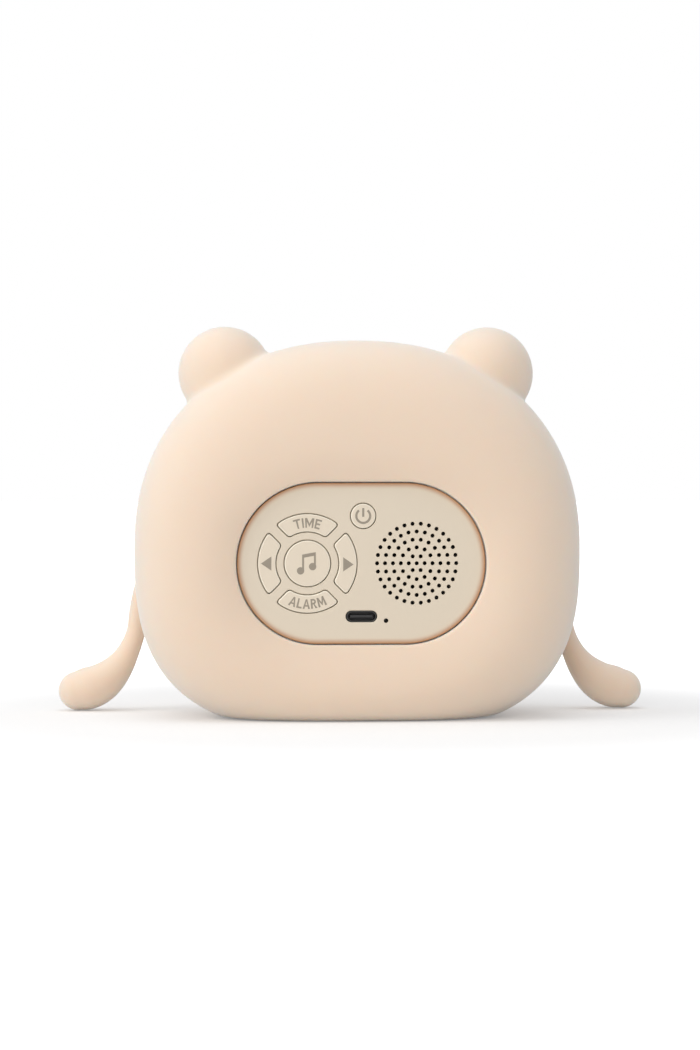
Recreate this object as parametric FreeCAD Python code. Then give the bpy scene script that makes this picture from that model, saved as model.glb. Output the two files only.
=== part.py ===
import FreeCAD, Part
import math
import os
from FreeCAD import Placement, Rotation, Vector

# Child's alarm clock with night light, in millimetres. +Z is up and the clock stands on z = 0.
# Its face looks along -Y and its control panel along +Y. x = 0 is the middle.

# Body: a cushion of soft silicone, outlined by two half super-ellipses that meet at its widest level
body_half_width = 68.0
body_mid_height = 52.0
body_rise = 63.0
body_drop = 57.0
upper_fullness = 2.2
lower_fullness = 2.85
rear_y = 35.0
front_y = -34.3
waist_y = 12.0
roll_weight = 0.8
base_round = 2.0
outline_points = 32
rear_strips = 3
dish_strips = 2
front_strips = 4

# Rear roll's crest, and the dish inside it that leads down to the control panel
crest_half_width = 47.0
crest_half_height = 36.5
crest_height = 46.0
crest_fullness = 2.4
dish_run = 9.0
dish_depth = 7.0
dish_half_width = 30.0
dish_half_height = 17.0

# Flat front face
face_half_width = 34.0
face_half_height = 33.0
face_height = 47.0
face_fullness = 2.3

# Ears and arms, moulded in one with the skin
ear_radius = 14.25
ear_inset = 27.7
ear_y = 4.5
ear_drop = 9.8
ear_blend = 2.5

# An arm's centre line: distance beyond the body's widest point, height above the floor, and radius there.
# It thins towards the shoulder and swells into a drop-shaped hand whose end is a ball.
arm_y = -19.5
arm_route = [
    (-24.0, 59.0, 3.6), (-14.0, 53.5, 3.5), (-6.6, 46.5, 3.3), (-2.9, 39.0, 3.1), (-1.1, 31.5, 3.0),
    (-0.1, 24.6, 3.0), (1.8, 19.2, 3.4), (5.2, 13.3, 4.65), (8.3, 10.2, 5.7), (11.3, 8.1, 6.4), (14.4, 7.0, 6.6),
]
arm_blend = 2.0
hand_radius = 6.05
hand_reach = 18.0
hand_height = 6.6
wrist_share = 0.97

# Walls and the fits between the shells
skin_wall = 3.0
skin_fit = 0.15
core_wall = 2.2
split_y = 8.0
lap_length = 3.0
lap_fit = 0.15

# Control panel: a plate with full round ends, sunk a little under the skin's lip
panel_width = 74.5
panel_height = 48.2
panel_z = 47.6
panel_sink = 4.0
panel_thickness = 2.2
panel_bevel = 0.5
panel_skin_gap = 0.35
panel_seat_fit = 0.15
lip_round = 0.8
seat_width = 2.2
seat_thickness = 2.0
seat_root = 3.0

# Keys: round keys and a ring of four, each in its own aperture
key_gap = 0.27
key_proud = 0.25
key_bevel = 0.35
key_travel = 0.4
key_rest_gap = 0.05
flange_reach = 0.9
flange_thickness = 0.8
ring_inset = 21.05
ring_inner_radius = 9.55
ring_outer_radius = 14.75
ring_split = 3.4
ring_corner = 1.1
music_radius = 6.85
power_radius = 3.67
power_x = -0.5
power_inset = 9.9
stem_radius = 1.3

# Speaker grille: a centre hole and rings of six, twelve, eighteen and so on
grille_inset = 20.65
grille_hole_radius = 0.6
grille_hole_sides = 8
grille_pitch = 2.38
grille_rings = 5

# Charging socket and reset pinhole, below the panel's middle
usb_inset = 8.2
usb_slot_width = 9.5
usb_slot_height = 3.5
usb_shell_width = 8.94
usb_shell_height = 3.16
usb_shell_wall = 0.3
usb_shell_sink = 0.5
usb_tongue_width = 6.7
usb_tongue_thickness = 0.7
usb_tongue_sink = 1.3
usb_block_height = 1.2
pin_x = -7.4
pin_inset = 6.9
pin_radius = 0.68

# Control board behind the panel, its switches and its screws
board_drop = 4.4
board_thickness = 1.6
board_margin = 0.5
speaker_notch_gap = 0.6
switch_width = 4.0
switch_height = 1.6
plunger_radius = 0.9
plunger_play = 0.2
plunger_proud = 0.6
plunger_depth = 1.0
reset_travel = 0.25
reset_switch_width = 3.0
boss_radius = 2.2
boss_bore = 0.9
board_hole_gap = 0.25
small_screw_radius = 0.85
small_screw_head_radius = 1.8
small_screw_head = 1.3
small_screw_length = 4.6
bore_spare = 0.4
boss_x = 7.0
boss_inset = 5.9
boss_angle = 118.0
boss_clearance = 3.0

# Snap hooks that hold the panel in its seat
hook_width = 4.0
hook_thickness = 1.2
hook_barb = 0.8
hook_length = 3.2
hook_gap = 0.1
hook_play = 0.3
hook_x = 11.5

# Speaker
speaker_radius = 14.0
speaker_rim = 2.0
speaker_rim_thickness = 0.8
gasket_thickness = 0.8
basket_back_radius = 9.6
basket_depth = 3.8
basket_wall = 0.6
basket_bridge = 0.4
magnet_radius = 9.0
magnet_height = 3.6
coil_radius = 3.3
coil_wall = 0.3
coil_play = 0.3
coil_depth = 1.4
cone_radius = 10.3
cone_wall = 0.4
cone_travel = 0.3
cap_rise = 0.8
surround_gap = 0.05
surround_steps = 4
collar_wall = 1.0
collar_gap = 0.15
collar_height = 2.5

# Screws and posts of the core, hidden under the skin
core_post_insets = [(19.0, 34.0), (22.0, 70.0)]
core_post_radius = 4.0
core_screw_radius = 1.5
core_screw_head_radius = 2.7
core_screw_head = 2.0
core_screw_length = 14.0
core_screw_floor = 3.0
screw_play = 0.2
thread_play = 0.05

# Chassis plate with the cradle for the battery cell
chassis_y = -4.0
chassis_thickness = 2.0
chassis_inset = 26.0
chassis_bottom = 11.0
chassis_top = 86.0
chassis_corner = 8.0
chassis_post_inset = 6.0
chassis_post_radius = 3.5
cell_radius = 9.15
cell_length = 65.0
cell_nub_radius = 2.8
cell_nub_height = 1.4
cradle_x = 20.0
cradle_thickness = 2.4
cradle_wall = 1.6
cradle_wrap = 3.0
cradle_grip = 5.0
cradle_play = 0.2

# Night light board
light_radius = 30.0
light_hole_radius = 6.0
light_z = 50.0
light_standoff = 2.4
light_thickness = 1.6
light_post_radius = 2.8
light_screw_circle = 20.0
led_circle = 26.0
led_count = 12
led_width = 3.5
led_length = 2.8
led_height = 0.8

# Time display behind the thin window of the front
display_z = 50.0
display_width = 58.0
display_height = 25.0
window_gap = 0.4
window_pocket = 1.6
mask_depth = 4.4
mask_setback = 0.3
mask_floor = 1.0
display_board_thickness = 1.6
display_post_radius = 2.4
digit_pitch = 13.0
digit_centre = 7.6
digit_half_gap = 1.2
digit_width = 8.0
digit_height = 15.0
segment_width = 1.5
segment_gap = 0.35
colon_side = 1.5
colon_rise = 3.2

# Eyes and nose let into the front
eye_x = 20.0
eye_z = 72.0
eye_radius = 2.8
nose_z = 69.0
nose_half_width = 3.6
nose_half_height = 2.6
trim_sink = 1.2
trim_proud = 0.7
trim_bevel = 0.6
trim_gap = 0.1

# Depths that follow from the values above
panel_y = rear_y - panel_sink
panel_inner_y = panel_y - panel_thickness
seat_y = panel_inner_y - seat_thickness
flange_y = panel_inner_y - key_rest_gap
board_y = panel_inner_y - board_drop
board_front_y = board_y - board_thickness
plunger_foot_y = board_y + switch_height - plunger_depth + key_travel
plunger_tip_y = board_y + switch_height + plunger_proud
core_inset = skin_wall + skin_fit
hollow_inset = core_inset + core_wall
core_screw_seat = split_y + core_screw_floor
core_screw_tip = core_screw_seat - core_screw_length
chassis_front_y = chassis_y - chassis_thickness
mask_front_y = front_y + skin_wall + mask_setback
mask_back_y = mask_front_y + mask_depth
display_back_y = mask_back_y + display_board_thickness

# Places on the panel, measured from its edges
ring_x = panel_width / 2 - ring_inset
grille_x = grille_inset - panel_width / 2
power_z = panel_z + panel_height / 2 - power_inset
usb_z = panel_z - panel_height / 2 + usb_inset
pin_z = panel_z - panel_height / 2 + pin_inset
boss_rise = panel_height / 2 - boss_inset
boss_reach = speaker_radius + boss_clearance
panel_bosses = [(boss_x, panel_z + end * boss_rise) for end in (-1, 1)] + [
    (grille_x + boss_reach * math.cos(math.radians(end * boss_angle)),
     panel_z + boss_reach * math.sin(math.radians(end * boss_angle)))
    for end in (-1, 1)]
ring_mid_radius = (ring_inner_radius + ring_outer_radius) / 2
key_centres = {
    "time_key": (ring_x, panel_z + ring_mid_radius),
    "alarm_key": (ring_x, panel_z - ring_mid_radius),
    "left_key": (ring_x + ring_mid_radius, panel_z),
    "right_key": (ring_x - ring_mid_radius, panel_z),
    "music_key": (ring_x, panel_z),
    "power_key": (power_x, power_z),
}

# Places of the posts inside
core_posts = [
    (side * (body_half_width - inset), z) for inset, z in core_post_insets for side in (-1, 1)]
chassis_half_width = body_half_width - chassis_inset
chassis_posts = [
    (side * (chassis_half_width - chassis_post_inset), z)
    for z in (chassis_bottom + chassis_post_inset, chassis_top - chassis_post_inset) for side in (-1, 1)]
display_post_x = display_width / 2 + window_gap + display_post_radius
display_post_rise = display_height / 2 - display_post_radius
display_posts = [
    (side * display_post_x, display_z + end * display_post_rise) for side in (-1, 1) for end in (-1, 1)]

# Room that cutting forms run past the faces they cut, and how near an edge must lie to count as found
overcut = 1.0
found_within = 1e-3
beyond = 200.0
along_y = Vector(0, 1, 0)
parts = {}


def place_on_floor(solid, floor):
    """Cut the form flat at the given height."""
    return solid.cut(Part.makeBox(beyond, beyond, beyond, Vector(-beyond / 2, -beyond / 2, floor - beyond)))


def slab(y0, y1):
    """A slice of space between two depths, to take a piece of a shell."""
    return Part.makeBox(beyond, y1 - y0, beyond, Vector(-beyond / 2, y0, -beyond / 4))


def super_outline(half_width, middle, rise, drop, upper, lower):
    """Points of a closed outline made of two half super-ellipses of different fullness."""
    points = []
    for i in range(outline_points):
        angle = 2 * math.pi * i / outline_points
        across, up = math.cos(angle), math.sin(angle)
        reach, fullness = (rise, upper) if up >= 0 else (drop, lower)
        radius = (abs(across / half_width) ** fullness + abs(up / reach) ** fullness) ** (-1 / fullness)
        points.append((radius * across, middle + radius * up))
    return points


def closed_curve(points, y):
    """One smooth closed curve through the outline's points, in the plane at depth y."""
    curve = Part.BSplineCurve()
    curve.interpolate(
        Points=[Vector(x, y, z) for x, z in points],
        PeriodicFlag=True,
        Parameters=[i / outline_points for i in range(outline_points + 1)],
    )
    return curve


def band(first, middle, last, weight):
    """A smooth surface from the first curve to the last that bends towards the middle one."""
    poles = [list(row) for row in zip(first.getPoles(), middle.getPoles(), last.getPoles())]
    surface = Part.BSplineSurface()
    surface.buildFromPolesMultsKnots(
        poles, first.getMultiplicities(), [3, 3], first.getKnots(), [0.0, 1.0],
        True, False, first.Degree, 2, [[1.0, weight, 1.0]] * len(poles),
    )
    return surface.toShape()


def strips(first, middle, last, weight, steps):
    """The same bend for a hidden wall, as a few straight-sided strips between outlines at their depths."""
    shares = []
    for i in range(steps + 1):
        t = i / steps
        pulls = ((1 - t) ** 2, 2 * weight * t * (1 - t), t ** 2)
        shares.append([pull / sum(pulls) for pull in pulls])
    curves = []
    for share in shares:
        points = [
            tuple(sum(s * corner[axis] for s, corner in zip(share, corners)) for axis in (0, 1))
            for corners in zip(first[0], middle[0], last[0])]
        depth = sum(s * end[1] for s, end in zip(share, (first, middle, last)))
        curves.append(closed_curve(points, depth))
    return [Part.makeRuledSurface(a.toShape(), b.toShape()) for a, b in zip(curves, curves[1:])]


def cushion(inset):
    """The body's rounded form, drawn in by a wall's thickness: rear roll, dish, front roll and flat face."""
    waist = super_outline(
        body_half_width - inset, body_mid_height, body_rise - inset, body_drop - inset,
        upper_fullness, lower_fullness,
    )
    crest = super_outline(
        crest_half_width, crest_height, crest_half_height, crest_half_height, crest_fullness, crest_fullness)
    brim = super_outline(
        crest_half_width - dish_run, crest_height, crest_half_height - dish_run, crest_half_height - dish_run,
        crest_fullness, crest_fullness,
    )
    well = super_outline(
        dish_half_width, panel_z, dish_half_height, dish_half_height, crest_fullness, crest_fullness)
    face = super_outline(
        face_half_width, face_height, face_half_height, face_half_height, face_fullness, face_fullness)
    top_y = rear_y - inset
    well_y = top_y - dish_depth
    low_y = front_y + inset
    bends = [
        ((waist, waist_y), (waist, top_y), (crest, top_y), roll_weight, rear_strips),
        ((crest, top_y), (brim, top_y), (well, well_y), 1.0, dish_strips),
        ((waist, waist_y), (waist, low_y), (face, low_y), roll_weight, front_strips),
    ]
    faces = [
        Part.Face(Part.Wire(closed_curve(well, well_y).toShape())),
        Part.Face(Part.Wire(closed_curve(face, low_y).toShape())),
    ]
    for first, middle, last, weight, steps in bends:
        if inset:
            faces += strips(first, middle, last, weight, steps)
        else:
            faces.append(band(*[closed_curve(points, y) for points, y in (first, middle, last)], weight))
    solid = Part.Solid(Part.Shell(faces))
    if solid.Volume < 0:
        solid.reverse()
    return place_on_floor(solid, inset)


def disc(radius, y0, y1, x=0.0, z=0.0):
    """A round bar along Y between two depths."""
    return Part.makeCylinder(radius, y1 - y0, Vector(x, y0, z), along_y)


def block(width, height, y0, y1, x=0.0, z=0.0):
    """A square-edged plate between two depths, centred on x and z."""
    return Part.makeBox(width, y1 - y0, height, Vector(x - width / 2, y0, z - height / 2))


def stadium(width, height, y0, y1, x=0.0, z=panel_z):
    """A plate with full round ends, between two depths."""
    radius = height / 2
    reach = width / 2 - radius
    middle = block(2 * reach, height, y0, y1, x, z)
    ends = [disc(radius, y0, y1, x + side * reach, z) for side in (-1, 1)]
    return middle.fuse(ends).removeSplitter()


def rounded_block(width, height, corner, y0, y1, x=0.0, z=0.0):
    """A plate with rounded corners, between two depths."""
    plate = block(width, height, y0, y1, x, z)
    return plate.makeFillet(corner, edges_along_y(plate, y0, y1))


def edges_along_y(solid, y0, y1):
    """Straight edges that run from one depth to the other."""
    return [
        edge for edge in solid.Edges
        if len(edge.Vertexes) == 2
        and abs(edge.Vertexes[0].X - edge.Vertexes[1].X) < found_within
        and abs(edge.Vertexes[0].Z - edge.Vertexes[1].Z) < found_within
        and abs(edge.BoundBox.YLength - (y1 - y0)) < found_within
    ]


def edges_at_depth(solid, y):
    """Edges that lie in the plane at depth y."""
    return [
        e for e in solid.Edges
        if abs(e.BoundBox.YMin - y) < found_within and abs(e.BoundBox.YMax - y) < found_within]


def screw(x, z, seat, head_y, tip, head_radius, radius):
    """A pan-head screw along Y with its head on one side of the seat."""
    head = disc(head_radius, min(seat, head_y), max(seat, head_y), x, z)
    return head.fuse(disc(radius, min(seat, tip), max(seat, tip), x, z)).removeSplitter()


def small_screws(places, seat, out):
    """Small screws at the given places; out is the side of the seat that their heads stand on, along Y."""
    return Part.makeCompound([
        screw(x, z, seat, seat + out * small_screw_head, seat - out * small_screw_length,
              small_screw_head_radius, small_screw_radius)
        for x, z in places
    ])


def screw_holes(places, y0, y1):
    """Clearance holes for small screws through a plate between two depths."""
    return [disc(small_screw_radius + board_hole_gap, y0, y1, x, z) for x, z in places]


def screw_bores(places, y0, y1):
    """Tight bores that small screws cut their thread in."""
    return [disc(small_screw_radius + thread_play, y0, y1, x, z) for x, z in places]


# Silicone skin: cushion, ears and arms moulded as one piece, hollow, open at the control panel.
def ear(side):
    """A ball, let into the top of the body by about a third."""
    ball = Part.makeSphere(ear_radius)
    ball.rotate(Vector(0, 0, 0), along_y, 90 + side * 90)
    ear_z = body_mid_height + body_rise - ear_drop
    ball.translate(Vector(side * (body_half_width - ear_inset), ear_y, ear_z))
    return ball


def arm(side):
    """A tube down from the shoulder that swells towards its round hand on the floor."""
    route = arm_route + [(hand_reach, hand_height, wrist_share * hand_radius)]
    centres = [Vector(side * (body_half_width + out), arm_y, z) for out, z, radius in route]
    rings = []
    for i, centre in enumerate(centres):
        direction = centres[min(i + 1, len(centres) - 1)] - centres[max(i - 1, 0)]
        rings.append(Part.Wire(Part.Circle(centre, direction, route[i][2]).toShape()))
    tube = Part.makeLoft(rings, True, False)
    return tube.fuse(Part.makeSphere(hand_radius, centres[-1]))


def edges_at_floor(solid):
    """Edges of the flat base."""
    return [
        e for e in solid.Edges if abs(e.BoundBox.ZMin) < found_within and abs(e.BoundBox.ZMax) < found_within]


def meeting_edges(joined, first, second):
    """Edges of the joined solid that lie on both of the forms that it was joined from."""
    found = []
    for edge in joined.Edges:
        spot = Part.Vertex(edge.valueAt((edge.FirstParameter + edge.LastParameter) / 2))
        if all(spot.distToShape(form.Shells[0])[0] < found_within for form in (first, second)):
            found.append(edge)
    return found


def face_plugs(grow, y0, y1):
    """The round eyes and the wide oval nose, grown by a clearance, as plugs between two depths."""
    nose = Vector(0, y0, nose_z)
    oval = Part.Ellipse(
        nose + Vector(nose_half_width + grow, 0, 0), nose + Vector(0, 0, nose_half_height + grow), nose)
    return {
        "face_eyes": [disc(eye_radius + grow, y0, y1, side * eye_x, eye_z) for side in (-1, 1)],
        "face_nose": [Part.Face(Part.Wire(oval.toShape())).extrude(Vector(0, y1 - y0, 0))],
    }


def display_window(y0, y1):
    """The space that the display's light passes through, between two depths."""
    return block(display_width + 2 * window_gap, display_height + 2 * window_gap, y0, y1, 0.0, display_z)


def silicone_skin():
    """The outer moulding, with blends where ears and arms grow out of it."""
    body = cushion(0.0)
    body = body.makeFillet(base_round, edges_at_floor(body))
    ears = [ear(side) for side in (-1, 1)]
    arms = [arm(side) for side in (-1, 1)]
    form = body.fuse(ears + arms)
    for limbs, blend in ((ears, ear_blend), (arms, arm_blend)):
        for limb in limbs:
            form = form.makeFillet(blend, meeting_edges(form, body, limb))
    opening_width = panel_width + 2 * panel_skin_gap
    opening = stadium(opening_width, panel_height + 2 * panel_skin_gap, waist_y, rear_y)
    form = form.cut([cushion(skin_wall), opening])
    lip = [
        e for e in form.Edges
        if e.BoundBox.YMin > panel_y
        and max(e.BoundBox.XMax, -e.BoundBox.XMin) < opening_width / 2 + found_within]
    form = form.makeFillet(lip_round, lip)
    inner_front_y = front_y + skin_wall
    pockets = [display_window(inner_front_y - window_pocket, inner_front_y)]
    for plugs in face_plugs(trim_gap, front_y - overcut, front_y + trim_sink).values():
        pockets += plugs
    return form.cut(pockets)


parts["silicone_skin"] = silicone_skin()


# Eyes and nose: dark plugs let into the front, standing a little proud, with bevelled rims
trim_face_y = front_y - trim_proud
for node, plugs in face_plugs(0.0, trim_face_y, front_y + trim_sink).items():
    parts[node] = Part.makeCompound([
        plug.makeChamfer(trim_bevel, edges_at_depth(plug, trim_face_y)) for plug in plugs])


# Core: two hard shells that carry the skin, joined by a lap and four screws
def front_core():
    """The milky front half, with the display window, posts and the lap's inner lip."""
    outside, hollow = cushion(core_inset), cushion(hollow_inset)
    shell = outside.cut(hollow).common(slab(-beyond / 2, split_y))
    lip = cushion(core_inset + core_wall / 2 + lap_fit).cut(hollow).common(
        slab(split_y - lap_length, split_y + lap_length))
    posts = []
    bores = [display_window(front_y, front_y + hollow_inset + overcut)]
    for x, z in core_posts:
        posts.append(disc(core_post_radius, front_y, split_y, x, z))
        bores.append(disc(core_screw_radius + thread_play, core_screw_tip - bore_spare, split_y, x, z))
    for x, z in chassis_posts:
        posts.append(disc(chassis_post_radius, front_y, chassis_front_y, x, z))
    for x, z in display_posts:
        posts.append(disc(display_post_radius, front_y, mask_back_y, x, z))
    bores += screw_bores(chassis_posts, chassis_y - small_screw_length - bore_spare, chassis_front_y)
    bores += screw_bores(display_posts, display_back_y - small_screw_length - bore_spare, mask_back_y)
    posts = Part.makeCompound(posts).common(outside)
    return shell.fuse([lip] + posts.Solids).cut(bores)


def hook_pocket(side, end):
    """Room under the panel's seat for the barb of a snap hook."""
    width = hook_barb + hook_play
    middle = panel_height / 2 - seat_width + width / 2
    return block(hook_width + 2 * hook_play, width, split_y, seat_y, side * hook_x, panel_z + end * middle)


def rear_core():
    """The rear half, with the panel's seat, the lap's outer lip and the screw tunnels."""
    outside, hollow = cushion(core_inset), cushion(hollow_inset)
    shell = outside.cut(hollow).common(slab(split_y, beyond / 2))
    ledge = stadium(
        panel_width + 2 * panel_seat_fit, panel_height + 2 * panel_seat_fit, seat_y, panel_inner_y)
    root = stadium(
        panel_width + 2 * seat_root, panel_height + 2 * seat_root, seat_y, panel_inner_y).common(outside)
    posts = Part.makeCompound([
        disc(core_post_radius, split_y, rear_y, x, z) for x, z in core_posts]).common(outside)
    rebate = cushion(core_inset + core_wall / 2).common(slab(split_y, split_y + lap_length + lap_fit))
    pocket = stadium(
        panel_width + 2 * panel_seat_fit, panel_height + 2 * panel_seat_fit, panel_inner_y, rear_y)
    opening = stadium(panel_width - 2 * seat_width, panel_height - 2 * seat_width, split_y, rear_y)
    bores = [pocket, opening] + [hook_pocket(side, end) for side in (-1, 1) for end in (-1, 1)]
    for x, z in core_posts:
        bores.append(disc(core_screw_head_radius + screw_play, core_screw_seat, rear_y, x, z))
        bores.append(disc(core_screw_radius + screw_play, split_y, core_screw_seat, x, z))
    return shell.cut(rebate).fuse([ledge, root] + posts.Solids).cut(bores)


parts["front_core"] = front_core()
parts["rear_core"] = rear_core()
parts["core_screws"] = Part.makeCompound([
    screw(x, z, core_screw_seat, core_screw_seat + core_screw_head, core_screw_tip,
          core_screw_head_radius, core_screw_radius)
    for x, z in core_posts
])


# Keys: cap, hidden flange and stem. Ring keys are quarters of a ring with even diagonal gaps.
def ring_quarters(grow, y0, y1):
    """The four ring keys' outlines, grown by a clearance, as plates between two depths."""
    tube = disc(ring_outer_radius + grow, y0, y1, ring_x, panel_z).cut(
        disc(ring_inner_radius - grow, y0, y1, ring_x, panel_z))
    bars = []
    for turn in (45, 135):
        bar = block(4 * ring_outer_radius, ring_split - 2 * grow, y0, y1)
        bar.Placement = Placement(Vector(ring_x, 0, panel_z), Rotation(along_y, turn))
        bars.append(bar)
    quarters = {}
    for solid in tube.cut(bars).Solids:
        rounded = solid.makeFillet(ring_corner + grow / 2, edges_along_y(solid, y0, y1))
        middle = solid.BoundBox.Center
        across, up = middle.x - ring_x, middle.z - panel_z
        if abs(up) > abs(across):
            name = "time_key" if up > 0 else "alarm_key"
        else:
            name = "left_key" if across > 0 else "right_key"
        quarters[name] = rounded
    return quarters


def key_forms(grow, y0, y1):
    """All six keys' outlines, grown by a clearance, as plates between two depths."""
    forms = ring_quarters(grow, y0, y1)
    forms["music_key"] = disc(music_radius + grow, y0, y1, ring_x, panel_z)
    forms["power_key"] = disc(power_radius + grow, y0, y1, power_x, power_z)
    return forms


caps = key_forms(0.0, flange_y, panel_y + key_proud)
flanges = key_forms(flange_reach, flange_y - flange_thickness, flange_y)
for name, (x, z) in key_centres.items():
    top_edges = edges_at_depth(caps[name], panel_y + key_proud)
    cap = caps[name].makeChamfer(key_bevel, top_edges)
    stem = disc(stem_radius, plunger_tip_y, flange_y - flange_thickness, x, z)
    parts[name] = cap.fuse([flanges[name], stem]).removeSplitter()


# Control panel: the plate with its key apertures, grille, socket slot and pinhole
def grille_holes():
    """A centre hole and rings of evenly spaced holes, six more in each ring."""
    corners = []
    for i in range(grille_hole_sides + 1):
        angle = 2 * math.pi * i / grille_hole_sides
        corners.append(grille_hole_radius * Vector(math.cos(angle), 0, math.sin(angle)))
    hole = Part.Face(Part.makePolygon(corners)).extrude(Vector(0, panel_thickness + 2 * overcut, 0))
    middle = Vector(grille_x, panel_inner_y - overcut, panel_z)
    holes = [hole.translated(middle)]
    for ring in range(1, grille_rings + 1):
        for i in range(6 * ring):
            angle = 2 * math.pi * i / (6 * ring)
            holes.append(hole.translated(
                middle + ring * grille_pitch * Vector(math.cos(angle), 0, math.sin(angle))))
    return holes


def snap_hook(side, end):
    """A springy leg behind the panel whose barb catches under the seat."""
    outer = panel_height / 2 - seat_width - hook_gap
    leg = block(
        hook_width, hook_thickness, panel_inner_y - hook_length - hook_thickness, panel_inner_y,
        side * hook_x, panel_z + end * (outer - hook_thickness / 2))
    catch_y = seat_y - hook_gap
    slope = Part.makePolygon([
        Vector(0, catch_y, 0), Vector(0, catch_y, hook_barb),
        Vector(0, panel_inner_y - hook_length - hook_thickness, 0), Vector(0, catch_y, 0)])
    barb = Part.Face(slope).extrude(Vector(hook_width, 0, 0))
    barb.translate(Vector(-hook_width / 2, 0, outer))
    if end < 0:
        barb = barb.mirror(Vector(0, 0, 0), Vector(0, 0, 1))
    barb.translate(Vector(side * hook_x, 0, panel_z))
    return leg.fuse(barb)


def control_panel():
    """The visible plate, with everything that is moulded on its back."""
    plate = stadium(panel_width, panel_height, panel_inner_y, panel_y)
    plate = plate.makeChamfer(panel_bevel, edges_at_depth(plate, panel_y))
    collar_y = panel_inner_y - collar_height
    collar_inner = speaker_radius + collar_gap
    collar = disc(collar_inner + collar_wall, collar_y, panel_inner_y, grille_x, panel_z)
    fixings = [collar.cut(disc(collar_inner, collar_y, panel_inner_y, grille_x, panel_z))]
    fixings += [disc(boss_radius, board_y, panel_inner_y, x, z) for x, z in panel_bosses]
    fixings += [snap_hook(side, end) for side in (-1, 1) for end in (-1, 1)]
    back, front = panel_inner_y - overcut, panel_y + overcut
    holes = screw_bores(panel_bosses, board_y, board_front_y + small_screw_length + bore_spare)
    holes += grille_holes()
    holes += list(key_forms(key_gap, back, front).values())
    holes.append(stadium(usb_slot_width, usb_slot_height, back, front, 0.0, usb_z))
    holes.append(disc(pin_radius, back, front, pin_x, pin_z))
    return plate.fuse(fixings).cut(holes)


parts["control_panel"] = control_panel()


# Control board with its switches and socket, screwed to the panel's bosses
def control_board():
    """A plate with full round ends, notched round the speaker."""
    edge = 2 * (seat_width + board_margin)
    plate = stadium(panel_width - edge, panel_height - edge, board_front_y, board_y)
    notch = disc(speaker_radius + speaker_notch_gap, board_front_y, board_y, grille_x, panel_z)
    return plate.cut([notch] + screw_holes(panel_bosses, board_front_y, board_y))


def switch_body(width, x, z):
    """A square tactile switch with a bore for its plunger."""
    top = board_y + switch_height
    bore = disc(plunger_radius + plunger_play, plunger_foot_y - key_travel - plunger_play, top, x, z)
    return block(width, width, board_y, top, x, z).cut(bore)


def usb_body(y0, y1, wall=0.0):
    """The socket's round-ended outline, drawn in by a wall, between two depths."""
    return stadium(usb_shell_width - 2 * wall, usb_shell_height - 2 * wall, y0, y1, 0.0, usb_z)


def usb_shell():
    """The socket's drawn metal shell, standing on the board."""
    mouth_y = panel_y - usb_shell_sink
    return usb_body(board_y, mouth_y).cut(usb_body(board_y, mouth_y, usb_shell_wall))


def usb_tongue():
    """The insulating block at the socket's foot with the contact tongue on it."""
    foot_y = board_y + usb_block_height
    tongue = block(
        usb_tongue_width, usb_tongue_thickness, foot_y, panel_y - usb_tongue_sink, 0.0, usb_z)
    return usb_body(board_y, foot_y, usb_shell_wall).fuse(tongue)


parts["control_board"] = control_board()
parts["board_screws"] = small_screws(panel_bosses, board_front_y, -1)
parts["key_switches"] = Part.makeCompound([
    switch_body(switch_width, x, z) for x, z in key_centres.values()])
parts["reset_switch"] = switch_body(reset_switch_width, pin_x, pin_z)
for name, (x, z) in {**key_centres, "reset": (pin_x, pin_z)}.items():
    parts[name.replace("_key", "") + "_plunger"] = disc(plunger_radius, plunger_foot_y, plunger_tip_y, x, z)
parts["usb_socket_shell"] = usb_shell()
parts["usb_socket_tongue"] = usb_tongue()


# Speaker behind the grille: gasket, basket, magnet, and the cone that moves
def turned(points):
    """A ring turned about the grille's axis from its half section, given as radius and depth."""
    outline = Part.makePolygon([Vector(r, y, 0) for r, y in points + points[:1]])
    ring = Part.Face(outline).revolve(Vector(0, 0, 0), along_y, 360)
    ring.translate(Vector(grille_x, 0, panel_z))
    return ring


rim_y = panel_inner_y - gasket_thickness
rim_back_y = rim_y - speaker_rim_thickness
rim_inner = speaker_radius - speaker_rim
basket_back_y = rim_back_y - basket_depth
basket_floor_y = basket_back_y + basket_wall
basket_hole = coil_radius + coil_play
cone_foot_y = basket_floor_y + cone_travel + cone_wall
cone_rim_y = rim_back_y + surround_gap


def speaker_basket():
    """A pressed frame: flat rim, sloping wall with four windows, and a back that takes the magnet."""
    frame = turned([
        (speaker_radius, rim_y), (speaker_radius, rim_back_y), (rim_inner + basket_wall, rim_back_y),
        (basket_back_radius, basket_back_y), (basket_hole, basket_back_y), (basket_hole, basket_floor_y),
        (basket_back_radius - basket_wall, basket_floor_y), (rim_inner, rim_back_y), (rim_inner, rim_y),
    ])
    low, high = basket_floor_y + basket_bridge, rim_back_y - basket_bridge
    across = block(4 * speaker_radius, basket_back_radius, low, high, grille_x, panel_z)
    upright = block(basket_back_radius, 4 * speaker_radius, low, high, grille_x, panel_z)
    return frame.cut([across, upright])


def speaker_magnet():
    """A round pot magnet with the groove that the coil moves in."""
    pot = disc(magnet_radius, basket_back_y - magnet_height, basket_back_y, grille_x, panel_z)
    groove_y = basket_back_y - coil_depth - cone_travel - coil_play
    groove = disc(basket_hole, groove_y, basket_back_y, grille_x, panel_z).cut(
        disc(coil_radius - coil_wall - coil_play, groove_y, basket_back_y, grille_x, panel_z))
    return pot.cut(groove)


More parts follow.
